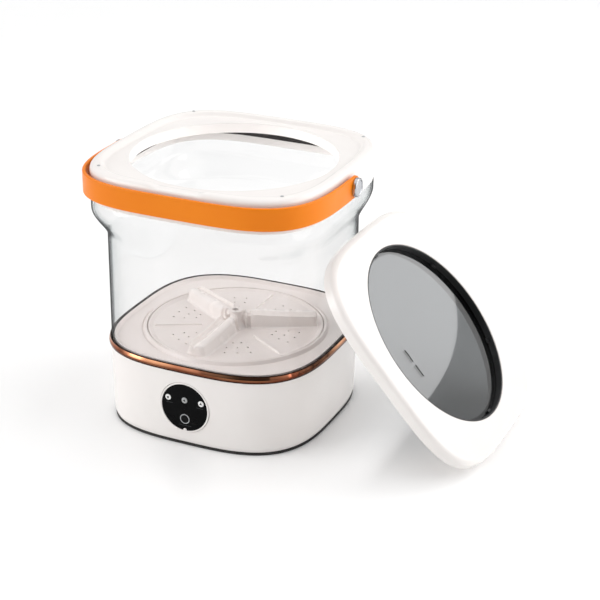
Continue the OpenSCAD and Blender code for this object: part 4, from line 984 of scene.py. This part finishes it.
studio = {"floorHalf": 6, "floorColour": "#FEFEFE", "floorShade": "#FCFCFC",
          "floorCloud": 400,  # in millimetres
          "zenith": 0.7, "horizon": 0.55, "darkSide": (0.42, -0.9, 0.1), "darkShare": 0.08,
          "darkFrom": 0.5, "darkTo": 0.96, "middle": (0, 0, 0.15)}
suns = {  # place, strength and spread in degrees
    "topLight": ((-0.3, 0.4, 2.2), 0.52, 70), "leftLight": ((-1.55, -1.2, 1.0), 1.42, 40),
    "rightLight": ((1.7, 0.5, 0.8), 1.2, 50), "fillLight": ((1.6, -0.35, 0.8), 0.25, 60)}
cards = {  # place, target, the light's own settings, and how it is turned and seen
    "lidCard": ((1.4602, 1.4539, 1.6459), (1.0064, 0.6203, 1.3311),
                {"shape": "ELLIPSE", "size": 1.096, "size_y": 2.41, "energy": 13}, {"turn": 23.5}),
    "ringCard": ((-1.42, -1.37, 0.42), (0, 0, 0.09),  # only seen in the plating
                 {"shape": "RECTANGLE", "size": 1.8, "size_y": 0.5, "energy": 2.4}, {"shining": False}),
    "underLidLight": ((0.235, 0, 0.06), (0.14, 0, 0.055),
                      {"shape": "RECTANGLE", "size": 0.22, "size_y": 0.06, "energy": 0.055},
                      {"mirrored": False}),
    "collarLight": ((0, 0, 0.13), (0, 0.001, 0.3), {"shape": "DISK", "size": 0.2, "energy": 0.37},
                    {"mirrored": False})}


def buildFloor():
    material, tree = newMaterial("pale studio floor")
    colour = addNode(tree, "ShaderNodeMix", {
        "data_type": "RGBA", colourA: fromHex(studio["floorColour"]), colourB: fromHex(studio["floorShade"])},
        {0: addPattern(tree, studio["floorCloud"], between=(0, 1))}).outputs[mixed]
    shader = addNode(tree, "ShaderNodeBsdfPrincipled", {"Roughness": 0.3, "IOR": 1.45},
                     {"Base Color": colour})
    addNode(tree, "ShaderNodeOutputMaterial", links={"Surface": shader.outputs["BSDF"]})
    bm = bmesh.new()
    bmesh.ops.create_grid(bm, x_segments=8, y_segments=8, size=studio["floorHalf"] / mm)
    floor = meshOf(bm, "studioFloor")
    floor.data.materials.append(material)


def addLamp(name, kind, place, target, settings, turn=0, mirrored=True, shining=True):
    light = bpy.data.lights.new(name, kind)
    for key, value in settings.items():
        setattr(light, key, value)
    lamp = bpy.data.objects.new(name, light)
    aim = (Vector(target) - Vector(place)).to_track_quat("-Z", "Y").to_matrix().to_4x4()
    lamp.matrix_world = shifted(*place) @ aim @ turned(turn)
    lamp.visible_camera = False
    lamp.visible_glossy = mirrored
    lamp.visible_diffuse = shining
    bpy.context.scene.collection.objects.link(lamp)


def buildLamps():
    for name, (place, energy, spread) in suns.items():
        addLamp(name, "SUN", place, studio["middle"], {"energy": energy, "angle": math.radians(spread)})
    for name, (place, target, settings, manner) in cards.items():
        addLamp(name, "AREA", place, target, settings, **manner)


def buildWorld():
    world = bpy.data.worlds.new("studio")
    world.use_nodes = True
    bpy.context.scene.world = world
    tree = world.node_tree
    tree.nodes.clear()
    direction = addNode(tree, "ShaderNodeTexCoord").outputs["Generated"]
    height = addNode(tree, "ShaderNodeSeparateXYZ", links={"Vector": direction}).outputs["Z"]
    sky = addNode(tree, "ShaderNodeMapRange", {
        "From Min": 0, "From Max": 1, "To Min": studio["horizon"], "To Max": studio["zenith"]},
        {"Value": height}).outputs["Result"]
    side = addNode(tree, "ShaderNodeVectorMath", {"operation": "DOT_PRODUCT", 1: studio["darkSide"]},
                   {0: direction}).outputs["Value"]
    dim = addNode(tree, "ShaderNodeMapRange", {  # the room's dark front keeps the mirrors deep
        "interpolation_type": "SMOOTHSTEP", "From Min": studio["darkFrom"], "From Max": studio["darkTo"],
        "To Min": 1, "To Max": studio["darkShare"]}, {"Value": side}).outputs["Result"]
    strength = addNode(tree, "ShaderNodeMath", {"operation": "MULTIPLY"}, {0: sky, 1: dim}).outputs[0]
    background = addNode(tree, "ShaderNodeBackground", {"Color": (1, 1, 1, 1)}, {"Strength": strength})
    addNode(tree, "ShaderNodeOutputWorld", links={"Surface": background.outputs[0]})


camera = {"eye": (0.8276, -1.6431, 0.9523), "azimuth": 24.25, "elevation": 23.91, "roll": 0.62,
          "lens": 97.34, "film": 36, "near": 0.05, "far": 50}


def buildCamera():
    azimuth, elevation, roll = (math.radians(camera[key]) for key in ("azimuth", "elevation", "roll"))
    back = Vector((math.sin(azimuth) * math.cos(elevation), -math.cos(azimuth) * math.cos(elevation),
                   math.sin(elevation)))
    right = Vector((math.cos(azimuth), math.sin(azimuth), 0))
    up = back.cross(right)
    rolledRight = math.cos(roll) * right + math.sin(roll) * up
    rolledUp = math.cos(roll) * up - math.sin(roll) * right
    data = bpy.data.cameras.new("photoCamera")
    data.lens, data.sensor_width = camera["lens"], camera["film"]
    data.clip_start, data.clip_end = camera["near"], camera["far"]
    eye = bpy.data.objects.new("photoCamera", data)
    eye.matrix_world = (Matrix.Translation(camera["eye"])
                        @ Matrix((rolledRight, rolledUp, back)).transposed().to_4x4())
    bpy.context.scene.collection.objects.link(eye)
    bpy.context.scene.camera = eye


buildFloor()
buildWorld()
buildLamps()
buildCamera()
bpy.context.scene.view_settings.view_transform = "Standard"
print("studio built")
